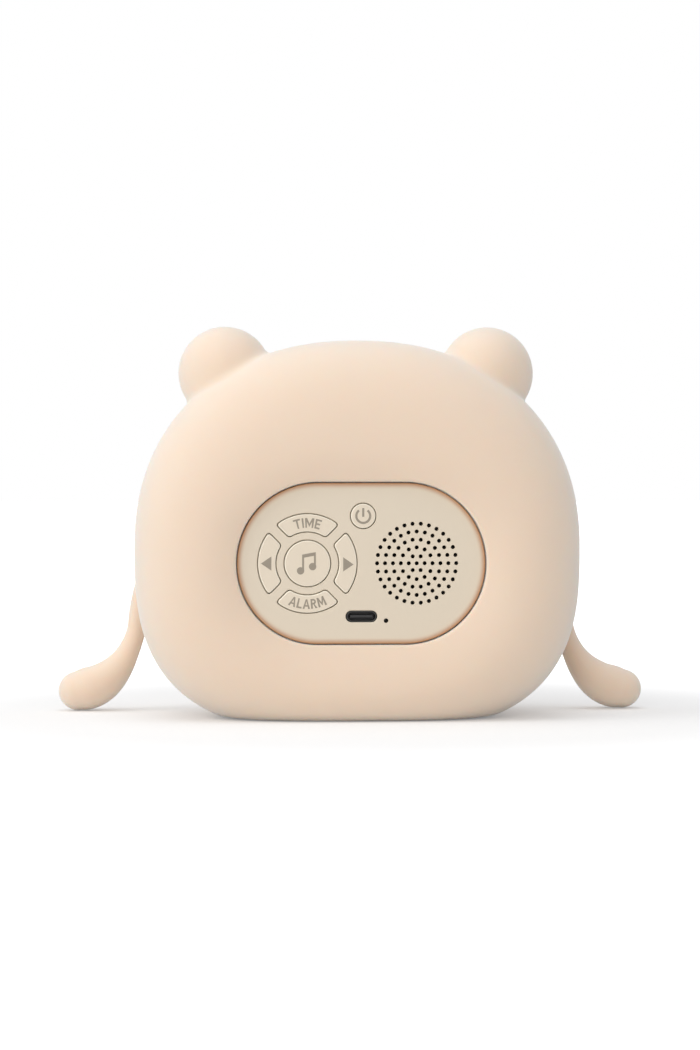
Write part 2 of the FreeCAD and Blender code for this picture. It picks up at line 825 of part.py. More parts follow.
def speaker_cone():
    """Coil, cone and pointed dust cap as the one light piece that moves."""
    coil_inner = coil_radius - coil_wall
    coil_foot_y = basket_back_y - coil_depth
    return turned([
        (coil_inner, coil_foot_y), (coil_radius, coil_foot_y), (coil_radius, cone_foot_y),
        (cone_radius, cone_rim_y), (cone_radius, cone_rim_y + cone_wall),
        (coil_radius, cone_foot_y + cone_wall), (0.0, cone_foot_y + cone_wall + cap_rise),
        (0.0, cone_foot_y + cap_rise), (coil_inner, cone_foot_y),
    ])


def speaker_surround():
    """The soft half-round roll between cone and rim."""
    inner, outer = cone_radius + surround_gap, rim_inner - surround_gap
    middle, half = (inner + outer) / 2, (outer - inner) / 2
    turns = [math.pi * i / surround_steps for i in range(surround_steps + 1)]
    top, under = [
        [(middle - radius * math.cos(turn), cone_rim_y + radius * math.sin(turn)) for turn in turns]
        for radius in (half, half - cone_wall / 2)]
    return turned(top + under[::-1])


parts["speaker_gasket"] = turned([
    (speaker_radius, panel_inner_y), (speaker_radius, rim_y), (rim_inner, rim_y), (rim_inner, panel_inner_y)])
parts["speaker_basket"] = speaker_basket()
parts["speaker_magnet"] = speaker_magnet()
parts["speaker_cone"] = speaker_cone()
parts["speaker_surround"] = speaker_surround()


# Chassis: the plate in the middle that carries the light board in front and the battery cell behind
cradle_bore = cell_radius + cradle_play
cradle_foot_z = hollow_inset + cradle_play
cell_y = chassis_y + cradle_wall + cradle_bore
cell_z = cradle_foot_z + cradle_wall + cradle_bore
light_back_y = chassis_front_y - light_standoff
light_front_y = light_back_y - light_thickness
light_screw_reach = light_screw_circle / math.sqrt(2)
light_posts = [
    (side * light_screw_reach, light_z + end * light_screw_reach) for side in (-1, 1) for end in (-1, 1)]


def bar_along_x(radius, length):
    """A round bar through the battery cell's middle, from its left end towards the right."""
    return Part.makeCylinder(radius, length, Vector(-cell_length / 2, cell_y, cell_z), Vector(1, 0, 0))


def chassis():
    """A plate with standoffs in front and two cradles behind."""
    plate = rounded_block(
        2 * chassis_half_width, chassis_top - chassis_bottom, chassis_corner, chassis_front_y, chassis_y,
        0.0, (chassis_top + chassis_bottom) / 2)
    cradles = [
        Part.makeBox(
            cradle_thickness, cell_y + cradle_wrap - chassis_front_y, cell_z + cradle_grip - cradle_foot_z,
            Vector(side * cradle_x - cradle_thickness / 2, chassis_front_y, cradle_foot_z))
        for side in (-1, 1)]
    standoffs = [disc(light_post_radius, light_back_y, chassis_front_y, x, z) for x, z in light_posts]
    bores = [bar_along_x(cradle_bore, cell_length)]
    bores += screw_bores(light_posts, light_back_y, light_front_y + small_screw_length + bore_spare)
    bores += screw_holes(chassis_posts, chassis_front_y, chassis_y)
    return plate.fuse(cradles + standoffs).cut(bores)


parts["chassis"] = chassis()
parts["chassis_screws"] = small_screws(chassis_posts, chassis_y, 1)
parts["battery_cell"] = bar_along_x(cell_radius, cell_length).fuse(
    bar_along_x(cell_nub_radius, cell_length + cell_nub_height)).removeSplitter()


# Night light: a round board with a ring of light chips that face the front
def light_board():
    """A round plate with a middle hole and four screw holes."""
    plate = disc(light_radius, light_front_y, light_back_y, 0.0, light_z)
    middle_hole = disc(light_hole_radius, light_front_y, light_back_y, 0.0, light_z)
    return plate.cut([middle_hole] + screw_holes(light_posts, light_front_y, light_back_y))


def light_chips():
    """Light chips evenly round the board, each turned to face outwards from its middle."""
    chips = []
    for i in range(led_count):
        chip = block(led_width, led_length, light_front_y - led_height, light_front_y, led_circle, 0.0)
        chip.rotate(Vector(0, 0, 0), along_y, 360 * i / led_count)
        chip.translate(Vector(0, 0, light_z))
        chips.append(chip)
    return Part.makeCompound(chips)


parts["light_board"] = light_board()
parts["light_chips"] = light_chips()
parts["light_screws"] = small_screws(light_posts, light_front_y, -1)


# Time display: a mask with a cell for each stroke of the digits, on its own board of light chips
def strokes():
    """Middle, width and height of each stroke: seven for each of four digits, and two for the colon."""
    half_width = (digit_width - segment_width) / 2
    half_height = (digit_height - segment_width) / 2
    bar = digit_width - 2 * segment_width - 2 * segment_gap
    pillar = half_height - segment_width - 2 * segment_gap
    inner = digit_centre + digit_half_gap
    found = []
    for centre in (-inner - digit_pitch, -inner, inner, inner + digit_pitch):
        for end in (-1, 0, 1):
            found.append((centre, display_z + end * half_height, bar, segment_width))
        for side in (-1, 1):
            for end in (-1, 1):
                found.append((
                    centre + side * half_width, display_z + end * half_height / 2, segment_width, pillar))
    return found + [(0.0, display_z + end * colon_rise, colon_side, colon_side) for end in (-1, 1)]


def display_mask():
    """A block that keeps the strokes' light apart."""
    mask = block(display_width, display_height, mask_front_y, mask_back_y, 0.0, display_z)
    return mask.cut([
        block(width, height, mask_front_y, mask_back_y, x, z) for x, z, width, height in strokes()])


def display_board():
    """The board behind the mask, with room at its ends for four screws."""
    width = 2 * (display_post_x + display_post_radius)
    plate = block(width, display_height, mask_back_y, display_back_y, 0.0, display_z)
    return plate.cut(screw_holes(display_posts, mask_back_y, display_back_y))


parts["display_mask"] = display_mask()
parts["display_board"] = display_board()
chip_side = segment_width - 2 * segment_gap
parts["display_chips"] = Part.makeCompound([
    block(chip_side, chip_side, mask_back_y - led_height, mask_back_y, x, z)
    for x, z, width, height in strokes()
])
parts["display_screws"] = small_screws(display_posts, display_back_y, 1)

os.makedirs("parts", exist_ok=True)
for name, shape in parts.items():
    shape.exportStep("parts/" + name + ".step")
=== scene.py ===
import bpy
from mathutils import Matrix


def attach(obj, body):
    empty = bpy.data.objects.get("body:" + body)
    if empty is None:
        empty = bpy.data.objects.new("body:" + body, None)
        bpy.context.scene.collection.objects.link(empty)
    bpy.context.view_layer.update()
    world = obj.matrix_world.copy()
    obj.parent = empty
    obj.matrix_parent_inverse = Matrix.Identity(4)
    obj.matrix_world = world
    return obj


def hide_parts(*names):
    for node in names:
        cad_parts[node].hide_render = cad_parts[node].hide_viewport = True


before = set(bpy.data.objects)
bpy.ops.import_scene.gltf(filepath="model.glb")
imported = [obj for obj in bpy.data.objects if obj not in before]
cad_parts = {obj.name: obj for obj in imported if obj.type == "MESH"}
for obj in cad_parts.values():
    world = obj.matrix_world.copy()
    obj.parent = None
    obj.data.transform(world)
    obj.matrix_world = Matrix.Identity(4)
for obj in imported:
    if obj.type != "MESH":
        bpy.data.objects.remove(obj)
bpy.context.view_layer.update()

import math

import bmesh
import bpy
import numpy as np
from mathutils import Vector

scene = bpy.context.scene
scene.view_settings.view_transform = "Standard"


# ---- Studio
# The clock stands on a white table in a white room. A long lens looks at its control panel from just above
# its own height. Large soft lights stand to the left and by the camera, one hangs above, the room fills in.
mm = 0.001
camera_data = bpy.data.cameras.new("camera")
camera_data.lens = 105.64
camera = bpy.data.objects.new("camera", camera_data)
scene.collection.objects.link(camera)
camera_aim = Vector((3.45, 31.0, 59.09)) * mm
camera_turn, camera_tilt, camera_distance = math.radians(176.57), math.radians(1.06), 921.65 * mm
camera_back = Vector((
    math.sin(camera_turn) * math.cos(camera_tilt),
    -math.cos(camera_turn) * math.cos(camera_tilt),
    math.sin(camera_tilt),
))
camera.location = camera_aim + camera_back * camera_distance
camera.rotation_mode = "QUATERNION"
camera.rotation_quaternion = (-camera_back).to_track_quat("-Z", "Y")
camera_data.clip_start, camera_data.clip_end = 0.05, 50.0
scene.camera = camera


def soft_light(name, place, size, power, tint):
    """A square soft light at a place, in metres, that faces the clock's middle."""
    data = bpy.data.lights.new(name, "AREA")
    data.shape = "SQUARE"
    data.size = size
    data.energy = power
    data.color = tint
    lamp = bpy.data.objects.new(name, data)
    lamp.location = place
    lamp.rotation_mode = "QUATERNION"
    lamp.rotation_quaternion = (Vector((0, 0, 0.05)) - lamp.location).to_track_quat("-Z", "Y")
    scene.collection.objects.link(lamp)


soft_light("side_light", (1.25, 0.55, 0.75), 0.9, 6.0, (1.0, 0.99, 0.97))
soft_light("top_light", (0.15, 0.1, 1.45), 1.3, 6.6, (1.0, 1.0, 1.0))
soft_light("front_light", (0.35, 1.6, 0.42), 0.9, 7.8, (1.0, 0.995, 0.985))


def add_node(tree, kind, inputs=None, **settings):
    """A shader node with its settings. Each input takes a value, or a link from another node's output."""
    made = tree.nodes.new("ShaderNode" + kind)
    for name, value in settings.items():
        setattr(made, name, value)
    for socket, value in (inputs or {}).items():
        if isinstance(value, bpy.types.NodeSocket):
            tree.links.new(value, made.inputs[socket])
        else:
            made.inputs[socket].default_value = value
    return made


room = bpy.data.worlds.new("room")
room.use_nodes = True
room_tree = room.node_tree
room_tree.nodes.clear()
room_ray = add_node(room_tree, "LightPath")
room_seen = add_node(
    room_tree, "Math",
    {0: room_ray.outputs["Is Camera Ray"], 1: room_ray.outputs["Is Transmission Ray"]}, operation="MAXIMUM")
room_fill = add_node(room_tree, "Background", {"Color": (0.97, 0.98, 1.0, 1), "Strength": 0.52})
room_white = add_node(room_tree, "Background", {"Color": (1, 1, 1, 1), "Strength": 1.0})
room_mix = add_node(room_tree, "MixShader", {
    "Fac": room_seen.outputs[0], 1: room_fill.outputs[0], 2: room_white.outputs[0]})
add_node(room_tree, "OutputWorld", {"Surface": room_mix.outputs[0]})
scene.world = room

# Away from the clock the table is plain white to the camera. Near it the paint keeps the soft shadow.
table_reach, table_drop = 6.0, 0.00004
table_mesh = bpy.data.meshes.new("table_top")
table_mesh.from_pydata(
    [(side_x * table_reach, side_y * table_reach, -table_drop)
     for side_x, side_y in ((-1, -1), (1, -1), (1, 1), (-1, 1))],
    [], [(0, 1, 2, 3)])
table_top = bpy.data.objects.new("table_top", table_mesh)
scene.collection.objects.link(table_top)
table_white = bpy.data.materials.new("table_white")
table_white.use_nodes = True
table_tree = table_white.node_tree
table_tree.nodes.clear()
table_place = add_node(table_tree, "TexCoord")
table_length = add_node(table_tree, "VectorMath", {0: table_place.outputs["Object"]}, operation="LENGTH")
table_far = add_node(
    table_tree, "MapRange",
    {"Value": table_length.outputs["Value"], "From Min": 0.1, "From Max": 0.3, "To Min": 0.235,
     "To Max": 1.0}, interpolation_type="SMOOTHSTEP")
table_ray = add_node(table_tree, "LightPath")
table_lift = add_node(
    table_tree, "Math", {0: table_ray.outputs["Is Camera Ray"], 1: table_far.outputs["Result"]},
    operation="MULTIPLY")
table_paint = add_node(table_tree, "BsdfDiffuse", {"Color": (0.77, 0.77, 0.77, 1)})
table_glow = add_node(table_tree, "Emission", {"Strength": table_lift.outputs[0]})
table_sum = add_node(table_tree, "AddShader", {0: table_paint.outputs[0], 1: table_glow.outputs[0]})
add_node(table_tree, "OutputMaterial", {"Surface": table_sum.outputs[0]})
table_mesh.materials.append(table_white)


# ---- Silicone skin
# The soft outer moulding: a cushion-shaped body with ears and arms grown out of it, 3 mm thick, open round
# the control panel. It is cast in one piece in matte silicone and stretched over the hard core.
body_half_width, body_middle, body_rise, body_drop = 68.0, 52.0, 63.0, 57.0
upper_fullness, lower_fullness = 2.2, 2.85
rear_y, front_y, waist_y, roll_weight = 35.0, -34.3, 12.0, 0.8
crest_half_width, crest_half_height, crest_middle, crest_fullness = 47.0, 36.5, 46.0, 2.4
dish_run, dish_depth, dish_half_width, dish_half_height = 9.0, 7.0, 30.0, 17.0
face_half_width, face_half_height, face_middle, face_fullness = 34.0, 33.0, 47.0, 2.3
skin_wall, base_softness = 3.0, 2.4
panel_width, panel_height, panel_middle, panel_y = 74.5, 48.2, 47.6, 31.0
opening_gap, lip_round = 0.35, 0.9


def super_radius(turn, half_width, rise, drop, upper, lower):
    """Polar radius of a super-ellipse, (|cos/width|^n + |sin/height|^n)^(-1/n), other below the middle."""
    above = np.sin(turn) >= 0
    reach, fullness = np.where(above, rise, drop), np.where(above, upper, lower)
    return (np.abs(np.cos(turn) / half_width) ** fullness + np.abs(np.sin(turn) / reach) ** fullness) ** (
        -1 / fullness)


def crest_radius(turn, inside=0.0):
    """The crest's outline, drawn in by a distance."""
    return super_radius(
        turn, crest_half_width - inside, crest_half_height - inside, crest_half_height - inside,
        crest_fullness, crest_fullness)


def roll_section(turn, share, rear, inset):
    """Middle height and radius of the body's section between waist (share 0) and crest or face (share 1)."""
    waist = super_radius(
        turn, body_half_width - inset, body_rise - inset, body_drop - inset, upper_fullness, lower_fullness)
    if rear:
        middle, end = crest_middle, crest_radius(turn)
    else:
        middle = face_middle
        end = super_radius(
            turn, face_half_width, face_half_height, face_half_height, face_fullness, face_fullness)
    return (1 - share) * body_middle + share * middle, (1 - share) * waist + share * end


def on_the_table(middle, radius, turn, floor=0.0):
    """Shortens each ray where it would pass through the table, with a smooth minimum for a soft edge."""
    downwards = np.minimum(np.sin(turn), -1e-6)
    to_table = np.where(np.sin(turn) < -1e-6, (middle - floor) / -downwards, 1e6)
    near = np.maximum(base_softness - np.abs(radius - to_table), 0) / base_softness
    return np.minimum(radius, to_table) - near ** 2 * base_softness / 4


def section_rows(turn, shares, depths, rear, inset):
    """Rows of points round the body, one for each share and depth."""
    rows = []
    for share, depth in zip(shares, depths):
        middle, radius = roll_section(turn, share, rear, inset)
        radius = on_the_table(middle, radius, turn, inset)
        rows.append(np.stack(
            [radius * np.cos(turn), np.full_like(turn, depth), middle + radius * np.sin(turn)], -1))
    return rows


def face_rows(turn, parts, depth, inset):
    """Rows on the flat face, each its outline shrunk by a part towards the middle."""
    middle, radius = roll_section(turn, 1.0, False, inset)
    return [np.stack([part * radius * np.cos(turn), np.full_like(turn, depth),
                      middle + part * radius * np.sin(turn)], -1) for part in parts]


def roll_bend(steps, end_y):
    """Shares and depths along a roll: a conic with the weight of its middle point, from waist to end."""
    along = np.linspace(0, 1, steps + 1)
    start, pull, end = (1 - along) ** 2, 2 * roll_weight * along * (1 - along), along ** 2
    whole = start + pull + end
    return end / whole, (start * waist_y + (pull + end) * end_y) / whole


def stadium_distance(x, z):
    """Signed distance from the edge of the panel's opening, a plate with full round ends."""
    radius = panel_height / 2 + opening_gap
    reach = panel_width / 2 - panel_height / 2
    return np.hypot(np.maximum(np.abs(x) - reach, 0), z - panel_middle) - radius


def dish_point(turn, along, top_y):
    """A point of the dish: a quadratic curve from the crest past the brim down to the well, at each turn."""
    start, pull, end = (1 - along) ** 2, 2 * along * (1 - along), along ** 2
    well = super_radius(
        turn, dish_half_width, dish_half_height, dish_half_height, crest_fullness, crest_fullness)
    radius = start * crest_radius(turn) + pull * crest_radius(turn, dish_run) + end * well
    middle = (start + pull) * crest_middle + end * panel_middle
    return np.stack([radius * np.cos(turn), top_y - dish_depth * end, middle + radius * np.sin(turn)], -1)


def along_to_opening(turn, offset, top_y):
    """How far along the dish its distance from the opening's edge falls to the offset, by halving."""
    low, high = np.zeros_like(turn), np.ones_like(turn)
    for _ in range(40):
        half = (low + high) / 2
        point = dish_point(turn, half, top_y)
        outside = stadium_distance(point[:, 0], point[:, 2]) > offset
        low, high = np.where(outside, half, low), np.where(outside, high, half)
    return (low + high) / 2


def closed_rows(rows):
    """Points and faces of a surface from rows of points round it, whose first and last rows are one point."""
    around = len(rows[1])
    points = np.concatenate([rows[0][:1]] + rows[1:-1] + [rows[-1][:1]])
    ring = np.arange(around)
    following = (ring + 1) % around
    starts = 1 + np.arange(len(rows) - 3)[:, None] * around
    quads = np.stack(
        [starts + ring, starts + following, starts + around + following, starts + around + ring], -1)
    last, last_row = len(points) - 1, 1 + (len(rows) - 3) * around
    first_fan = np.stack([np.zeros(around, int), following + 1, ring + 1], -1)
    last_fan = np.stack([np.full(around, last), last_row + ring, last_row + following], -1)
    return points, first_fan.tolist() + quads.reshape(-1, 4).tolist() + last_fan.tolist()


def skin_shell(around):
    """The skin without ears and arms: face, front roll, rear roll, dish, lip, wall, and back inside."""
    turn = np.arange(around) * 2 * math.pi / around
    rows = face_rows(turn, np.linspace(0, 1, 12, endpoint=False), front_y, 0.0)
    shares, depths = roll_bend(46, front_y)
    rows += section_rows(turn, shares[::-1], depths[::-1], False, 0.0)
    shares, depths = roll_bend(40, rear_y)
    rows += section_rows(turn, shares[1:], depths[1:], True, 0.0)
    lip_along = along_to_opening(turn, lip_round, rear_y)
    for part in np.linspace(0, 1, 15)[1:]:
        rows.append(dish_point(turn, part * lip_along, rear_y))
    before_lip = rows[-1]
    corner = dish_point(turn, along_to_opening(turn, 0.0, rear_y), rear_y)
    below_lip = corner - np.array([0, lip_round, 0])
    for part in np.linspace(0, 1, 8)[1:]:
        rows.append((1 - part) ** 2 * before_lip + 2 * part * (1 - part) * corner + part ** 2 * below_lip)
    inner_edge = along_to_opening(turn, 0.0, rear_y - skin_wall)
    inner_corner = dish_point(turn, inner_edge, rear_y - skin_wall)
    rows.append((below_lip + inner_corner) / 2)
    rows.append(inner_corner)
    for part in np.linspace(1, 0, 6)[1:]:
        rows.append(dish_point(turn, part * inner_edge, rear_y - skin_wall))
    shares, depths = roll_bend(12, rear_y - skin_wall)
    rows += section_rows(turn, shares[::-1][1:], depths[::-1][1:], True, skin_wall)
    shares, depths = roll_bend(12, front_y + skin_wall)
    rows += section_rows(turn, shares[1:], depths[1:], False, skin_wall)
    return closed_rows(rows + face_rows(turn, (0.66, 0.33, 0.0), front_y + skin_wall, skin_wall))


def plain_cushion(around, inset):
    """The body's form without a hollow, drawn in by a distance, to trim what grows out of it."""
    turn = np.arange(around) * 2 * math.pi / around
    point = np.zeros_like(turn)
    rows = [np.stack([point, point + front_y + inset, point + face_middle], -1)]
    shares, depths = roll_bend(20, front_y + inset)
    rows += section_rows(turn, shares[::-1], depths[::-1], False, inset)
    shares, depths = roll_bend(20, rear_y - inset)
    rows += section_rows(turn, shares[1:], depths[1:], True, inset)
    rows.append(np.stack([point, point + rear_y - inset, point + crest_middle], -1))
    return closed_rows(rows)


def gradient(measure, points, step):
    """Slope of a measure at points: half the difference over one step to either side, along each axis."""
    return np.stack([
        (measure(points + step * axis) - measure(points - step * axis)) / (2 * step)
        for axis in np.eye(3)], -1)


def body_distance(points):
    """About how far points lie from the body's side: radius less the section's radius at that depth, over
    the length of that difference's gradient."""
    def raw(spot):
        rear = spot[:, 1] > waist_y
        end = np.where(rear, rear_y, front_y)
        left = np.clip((spot[:, 1] - end) / (waist_y - end), 0, 1)
        half_sum = 2 * (1 - left) + 4 * roll_weight ** 2 * left
        share = (half_sum - np.sqrt(np.maximum(half_sum ** 2 - 4 * (1 - left) ** 2, 0))) / 2
        middle_end = np.where(rear, crest_middle, face_middle)
        middle = (1 - share) * body_middle + share * middle_end
        turn = np.arctan2(spot[:, 2] - middle, spot[:, 0])
        rear_section = roll_section(turn, share, True, 0.0)[1]
        front_section = roll_section(turn, share, False, 0.0)[1]
        radius = np.where(rear, rear_section, front_section)
        return np.hypot(spot[:, 0], spot[:, 2] - middle) - on_the_table(middle, radius, turn)

    return raw(points) / np.maximum(np.linalg.norm(gradient(raw, points, 0.05), axis=-1), 0.3)


ear_radius, ear_x, ear_y, ear_z = 14.25, 40.3, 4.5, 105.2
ear_blend, arm_blend = 2.4, 3.0
arm_y = -19.5
arm_stations = np.array([
    (44.0, 59.0, 3.6), (54.0, 53.5, 3.5), (61.4, 46.5, 3.3), (65.1, 39.0, 3.1), (66.9, 31.5, 3.0),
    (67.9, 24.6, 3.0), (69.9, 19.2, 3.4), (73.1, 13.9, 4.55), (76.0, 10.8, 5.55), (78.9, 8.6, 6.25),
    (81.6, 7.35, 6.6), (84.0, 6.65, 6.55), (86.0, 6.25, 6.1),
])


def smooth_run(stations, count):
    """A centre line through stations: each value is a cubic whose slopes come from the stations beside it."""
    at = np.concatenate([[0], np.cumsum(np.hypot(*np.diff(stations[:, :2], axis=0).T))])
    slopes = np.gradient(stations, at, axis=0)
    where = np.linspace(0, at[-1], count)
    piece = np.clip(np.searchsorted(at, where, side="right") - 1, 0, len(at) - 2)
    span = (at[piece + 1] - at[piece])[:, None]
    part = ((where - at[piece]) / span[:, 0])[:, None]
    return (
        (2 * part ** 3 - 3 * part ** 2 + 1) * stations[piece]
        + (part ** 3 - 2 * part ** 2 + part) * span * slopes[piece]
        + (3 * part ** 2 - 2 * part ** 3) * stations[piece + 1]
        + (part ** 3 - part ** 2) * span * slopes[piece + 1])


arm_run = smooth_run(arm_stations, 150)


def arm_distance(points, side):
    """Distance from a tapered tube: that from the nearest point of its centre line less the radius there."""
    line = np.stack([side * arm_run[:, 0], np.full(len(arm_run), arm_y), arm_run[:, 1]], -1)
    gaps = np.linalg.norm(points[:, None, :] - line[None], axis=-1) - arm_run[:, 2]
    return gaps.min(axis=1)


def ear_distance(points, side):
    """Distance from a ball: that from its middle less its radius."""
    return np.linalg.norm(points - np.array([side * ear_x, ear_y, ear_z]), axis=-1) - ear_radius


def ear_surface(side, around, steps):
    """A ball whose rows run from pole to pole along the line towards the body's middle."""
    turn = np.arange(around) * 2 * math.pi / around
    rows = []
    for fall in np.linspace(0, math.pi, steps + 1):
        rows.append(np.stack([
            side * ear_x + ear_radius * math.sin(fall) * np.cos(turn),
            ear_y + ear_radius * math.sin(fall) * np.sin(turn),
            ear_z + np.full_like(turn, ear_radius * math.cos(fall))], -1))
    return closed_rows(rows)


def arm_surface(side, around, steps, cap_steps):
    """A circle carried along the arm's centre line, closed at the hand by a half ball."""
    run = smooth_run(arm_stations, steps)
    turn = np.arange(around) * 2 * math.pi / around
    heading = np.gradient(run[:, :2], axis=0)
    heading /= np.linalg.norm(heading, axis=1)[:, None]
    rows = [np.tile([side * run[0, 0], arm_y, run[0, 1]], (around, 1))]
    spots = [(x, z, radius, 0.0, along) for (x, z, radius), along in zip(run, heading)]
    x, z, radius = run[-1]
    for fall in np.linspace(0, math.pi / 2, cap_steps + 1)[1:-1]:
        spots.append((x, z, radius * math.cos(fall), radius * math.sin(fall), heading[-1]))
    for x, z, ring, ahead, along in spots:
        across = np.array([-along[1], along[0]])
        centre = np.array([x, z]) + ahead * along
        rows.append(np.stack([
            side * (centre[0] + ring * np.cos(turn) * across[0]),
            arm_y + ring * np.sin(turn),
            centre[1] + ring * np.cos(turn) * across[1]], -1))
    tip = run[-1, :2] + run[-1, 2] * heading[-1]
    rows.append(np.tile([side * tip[0], arm_y, tip[1]], (around, 1)))
    return closed_rows(rows)


def edited(mesh, operation):
    """Runs one bmesh operation on a mesh and keeps its result."""
    work = bmesh.new()
    work.from_mesh(mesh)
    work.faces.ensure_lookup_table()
    work.edges.ensure_lookup_table()
    operation(work)
    work.to_mesh(mesh)
    work.free()


def made_mesh(name, points, faces):
    """A mesh from points and faces whose normals are turned outwards."""
    mesh = bpy.data.meshes.new(name)
    mesh.from_pydata(np.asarray(points).tolist(), [], faces)
    edited(mesh, lambda work: bmesh.ops.recalc_face_normals(work, faces=work.faces))
    return mesh


def joined(first, second, operation):
    """The exact union or difference of two closed meshes."""
    holders = [bpy.data.objects.new("holder", mesh) for mesh in (first, second)]
    for holder in holders:
        scene.collection.objects.link(holder)
    cutter = holders[0].modifiers.new("join", "BOOLEAN")
    cutter.operation, cutter.solver, cutter.object = operation, "EXACT", holders[1]
    result = bpy.data.meshes.new_from_object(
        holders[0].evaluated_get(bpy.context.evaluated_depsgraph_get()))
    for holder in holders:
        bpy.data.objects.remove(holder)
    return result


def values_of(items, name, width=1, kind=int):
    """The values of all items of one sort in a mesh, as an array with one row for each item."""
    values = np.empty(len(items) * width, kind)
    items.foreach_get(name, values)
    return values.reshape(-1, width) if width > 1 else values


def cut_triangles(mesh, chosen):
    """Cuts the faces that touch a chosen point into triangles."""
    corners = values_of(mesh.loops, "vertex_index")
    starts = values_of(mesh.polygons, "loop_start")
    touched = np.flatnonzero(np.logical_or.reduceat(chosen[corners], starts))
    edited(mesh, lambda work: bmesh.ops.triangulate(work, faces=[work.faces[face] for face in touched]))


def halve_edges(mesh, chosen, longest):
    """Halves the edges between two chosen points that are longer than a length."""
    pairs, spots = values_of(mesh.edges, "vertices", 2), values_of(mesh.vertices, "co", 3, float)
    lengths = np.linalg.norm(spots[pairs[:, 0]] - spots[pairs[:, 1]], axis=1)
    halved = np.flatnonzero(chosen[pairs].all(axis=1) & (lengths > longest))
    edited(mesh, lambda work: bmesh.ops.subdivide_edges(
        work, edges=[work.edges[edge] for edge in halved], cuts=1))


def melt_seam(mesh, limb_distance, blend, low, high):
    """Rounds the seam where a limb leaves the body. Points near it slide until the smooth minimum of both
    distances, min(a, b) - max(k - |a - b|, 0)^2 / 4k, is zero, evened out between the slides. Only points
    between the corners low and high are looked at."""
    seam_reach, seam_depth, far_off = blend * 1.1, 0.6, 99.0
    slides, evening, slope_step, least_slope, stride = 14, 0.5, 0.04, 0.2, 0.8

    def near():
        spots = values_of(mesh.vertices, "co", 3, float)
        limb, body = np.full(len(spots), far_off), np.full(len(spots), far_off)
        inside = np.all((spots > low) & (spots < high), axis=1)
        limb[inside] = limb_distance(spots[inside])
        close = np.abs(limb) < seam_reach
        body[close] = body_distance(spots[close])
        return close & (np.abs(body) < seam_reach) & (np.minimum(limb, body) > -seam_depth)

    def gap(points):
        limb, body = limb_distance(points), body_distance(points)
        overlap = np.maximum(blend - np.abs(limb - body), 0)
        return np.minimum(limb, body) - overlap ** 2 / (4 * blend)

    for longest in (1.1, 0.9):
        chosen = near()
        cut_triangles(mesh, chosen)
        halve_edges(mesh, chosen, longest)
        cut_triangles(mesh, near())
    moving = np.flatnonzero(near())
    pairs, spots = values_of(mesh.edges, "vertices", 2), values_of(mesh.vertices, "co", 3, float)
    degree = np.maximum(np.bincount(pairs.ravel(), minlength=len(spots)), 1)
    for _ in range(slides):
        total = np.zeros_like(spots)
        np.add.at(total, pairs[:, 0], spots[pairs[:, 1]])
        np.add.at(total, pairs[:, 1], spots[pairs[:, 0]])
        spots[moving] += evening * ((total / degree[:, None])[moving] - spots[moving])
        for _ in range(2):
            value, slope = gap(spots[moving]), gradient(gap, spots[moving], slope_step)
            steepness = np.maximum((slope ** 2).sum(-1), least_slope)
            spots[moving] -= np.clip(value / steepness, -stride, stride)[:, None] * slope
    mesh.vertices.foreach_set("co", spots.ravel())
    mesh.update()


skin_mesh = made_mesh("silicone_body", *skin_shell(288))
trim = made_mesh("trim", *plain_cushion(96, skin_wall / 2))
for side in (-1, 1):
    ear = joined(made_mesh("ear", *ear_surface(side, 72, 44)), trim, "DIFFERENCE")
    skin_mesh = joined(skin_mesh, ear, "UNION")
    arm = joined(made_mesh("arm", *arm_surface(side, 40, 72, 9)), trim, "DIFFERENCE")
    skin_mesh = joined(skin_mesh, arm, "UNION")
# Each seam lies between two corners, given for the side where x is positive.
ear_space = np.array([(18.0, -22.0, 80.0), (64.0, 30.0, 126.0)])
arm_space = np.array([(42.0, -32.0, 8.0), (96.0, -8.0, 70.0)])
for side in (-1, 1):
    for distance, blend, space in (
            (ear_distance, ear_blend, ear_space), (arm_distance, arm_blend, arm_space)):
        corners = space * [side, 1, 1]
        melt_seam(
            skin_mesh, lambda points: distance(points, side), blend, corners.min(axis=0),
            corners.max(axis=0))


def finished_piece(name, mesh, material, body="body", smooth=True):
    """Puts a mesh made in millimetres into the scene in metres, with its material and body. Smooth is
    one answer for the whole piece, or one for each face."""
    mesh.vertices.foreach_set("co", values_of(mesh.vertices, "co", 3, float).ravel() * mm)
    mesh.polygons.foreach_set("use_smooth", np.full(len(mesh.polygons), smooth))
    mesh.update()
    mesh.materials.clear()
    mesh.materials.append(material)
    piece = bpy.data.objects.new(name, mesh)
    scene.collection.objects.link(piece)
    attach(piece, body)
    return piece


def screen(red, green, blue):
    """Linear colour of a screen colour: each channel over 255, plus 0.055, over 1.055, to the power 2.4."""
    return tuple(((channel / 255 + 0.055) / 1.055) ** 2.4 for channel in (red, green, blue)) + (1.0,)


def new_group(name, inputs, outputs):
    """An empty shader node group with named inputs and outputs, with its two end nodes."""
    group = bpy.data.node_groups.new(name, "ShaderNodeTree")
    for direction, sockets in (("INPUT", inputs), ("OUTPUT", outputs)):
        for socket, kind in sockets:
            group.interface.new_socket(socket, in_out=direction, socket_type="NodeSocket" + kind)
    return group, group.nodes.new("NodeGroupInput").outputs, group.nodes.new("NodeGroupOutput").inputs


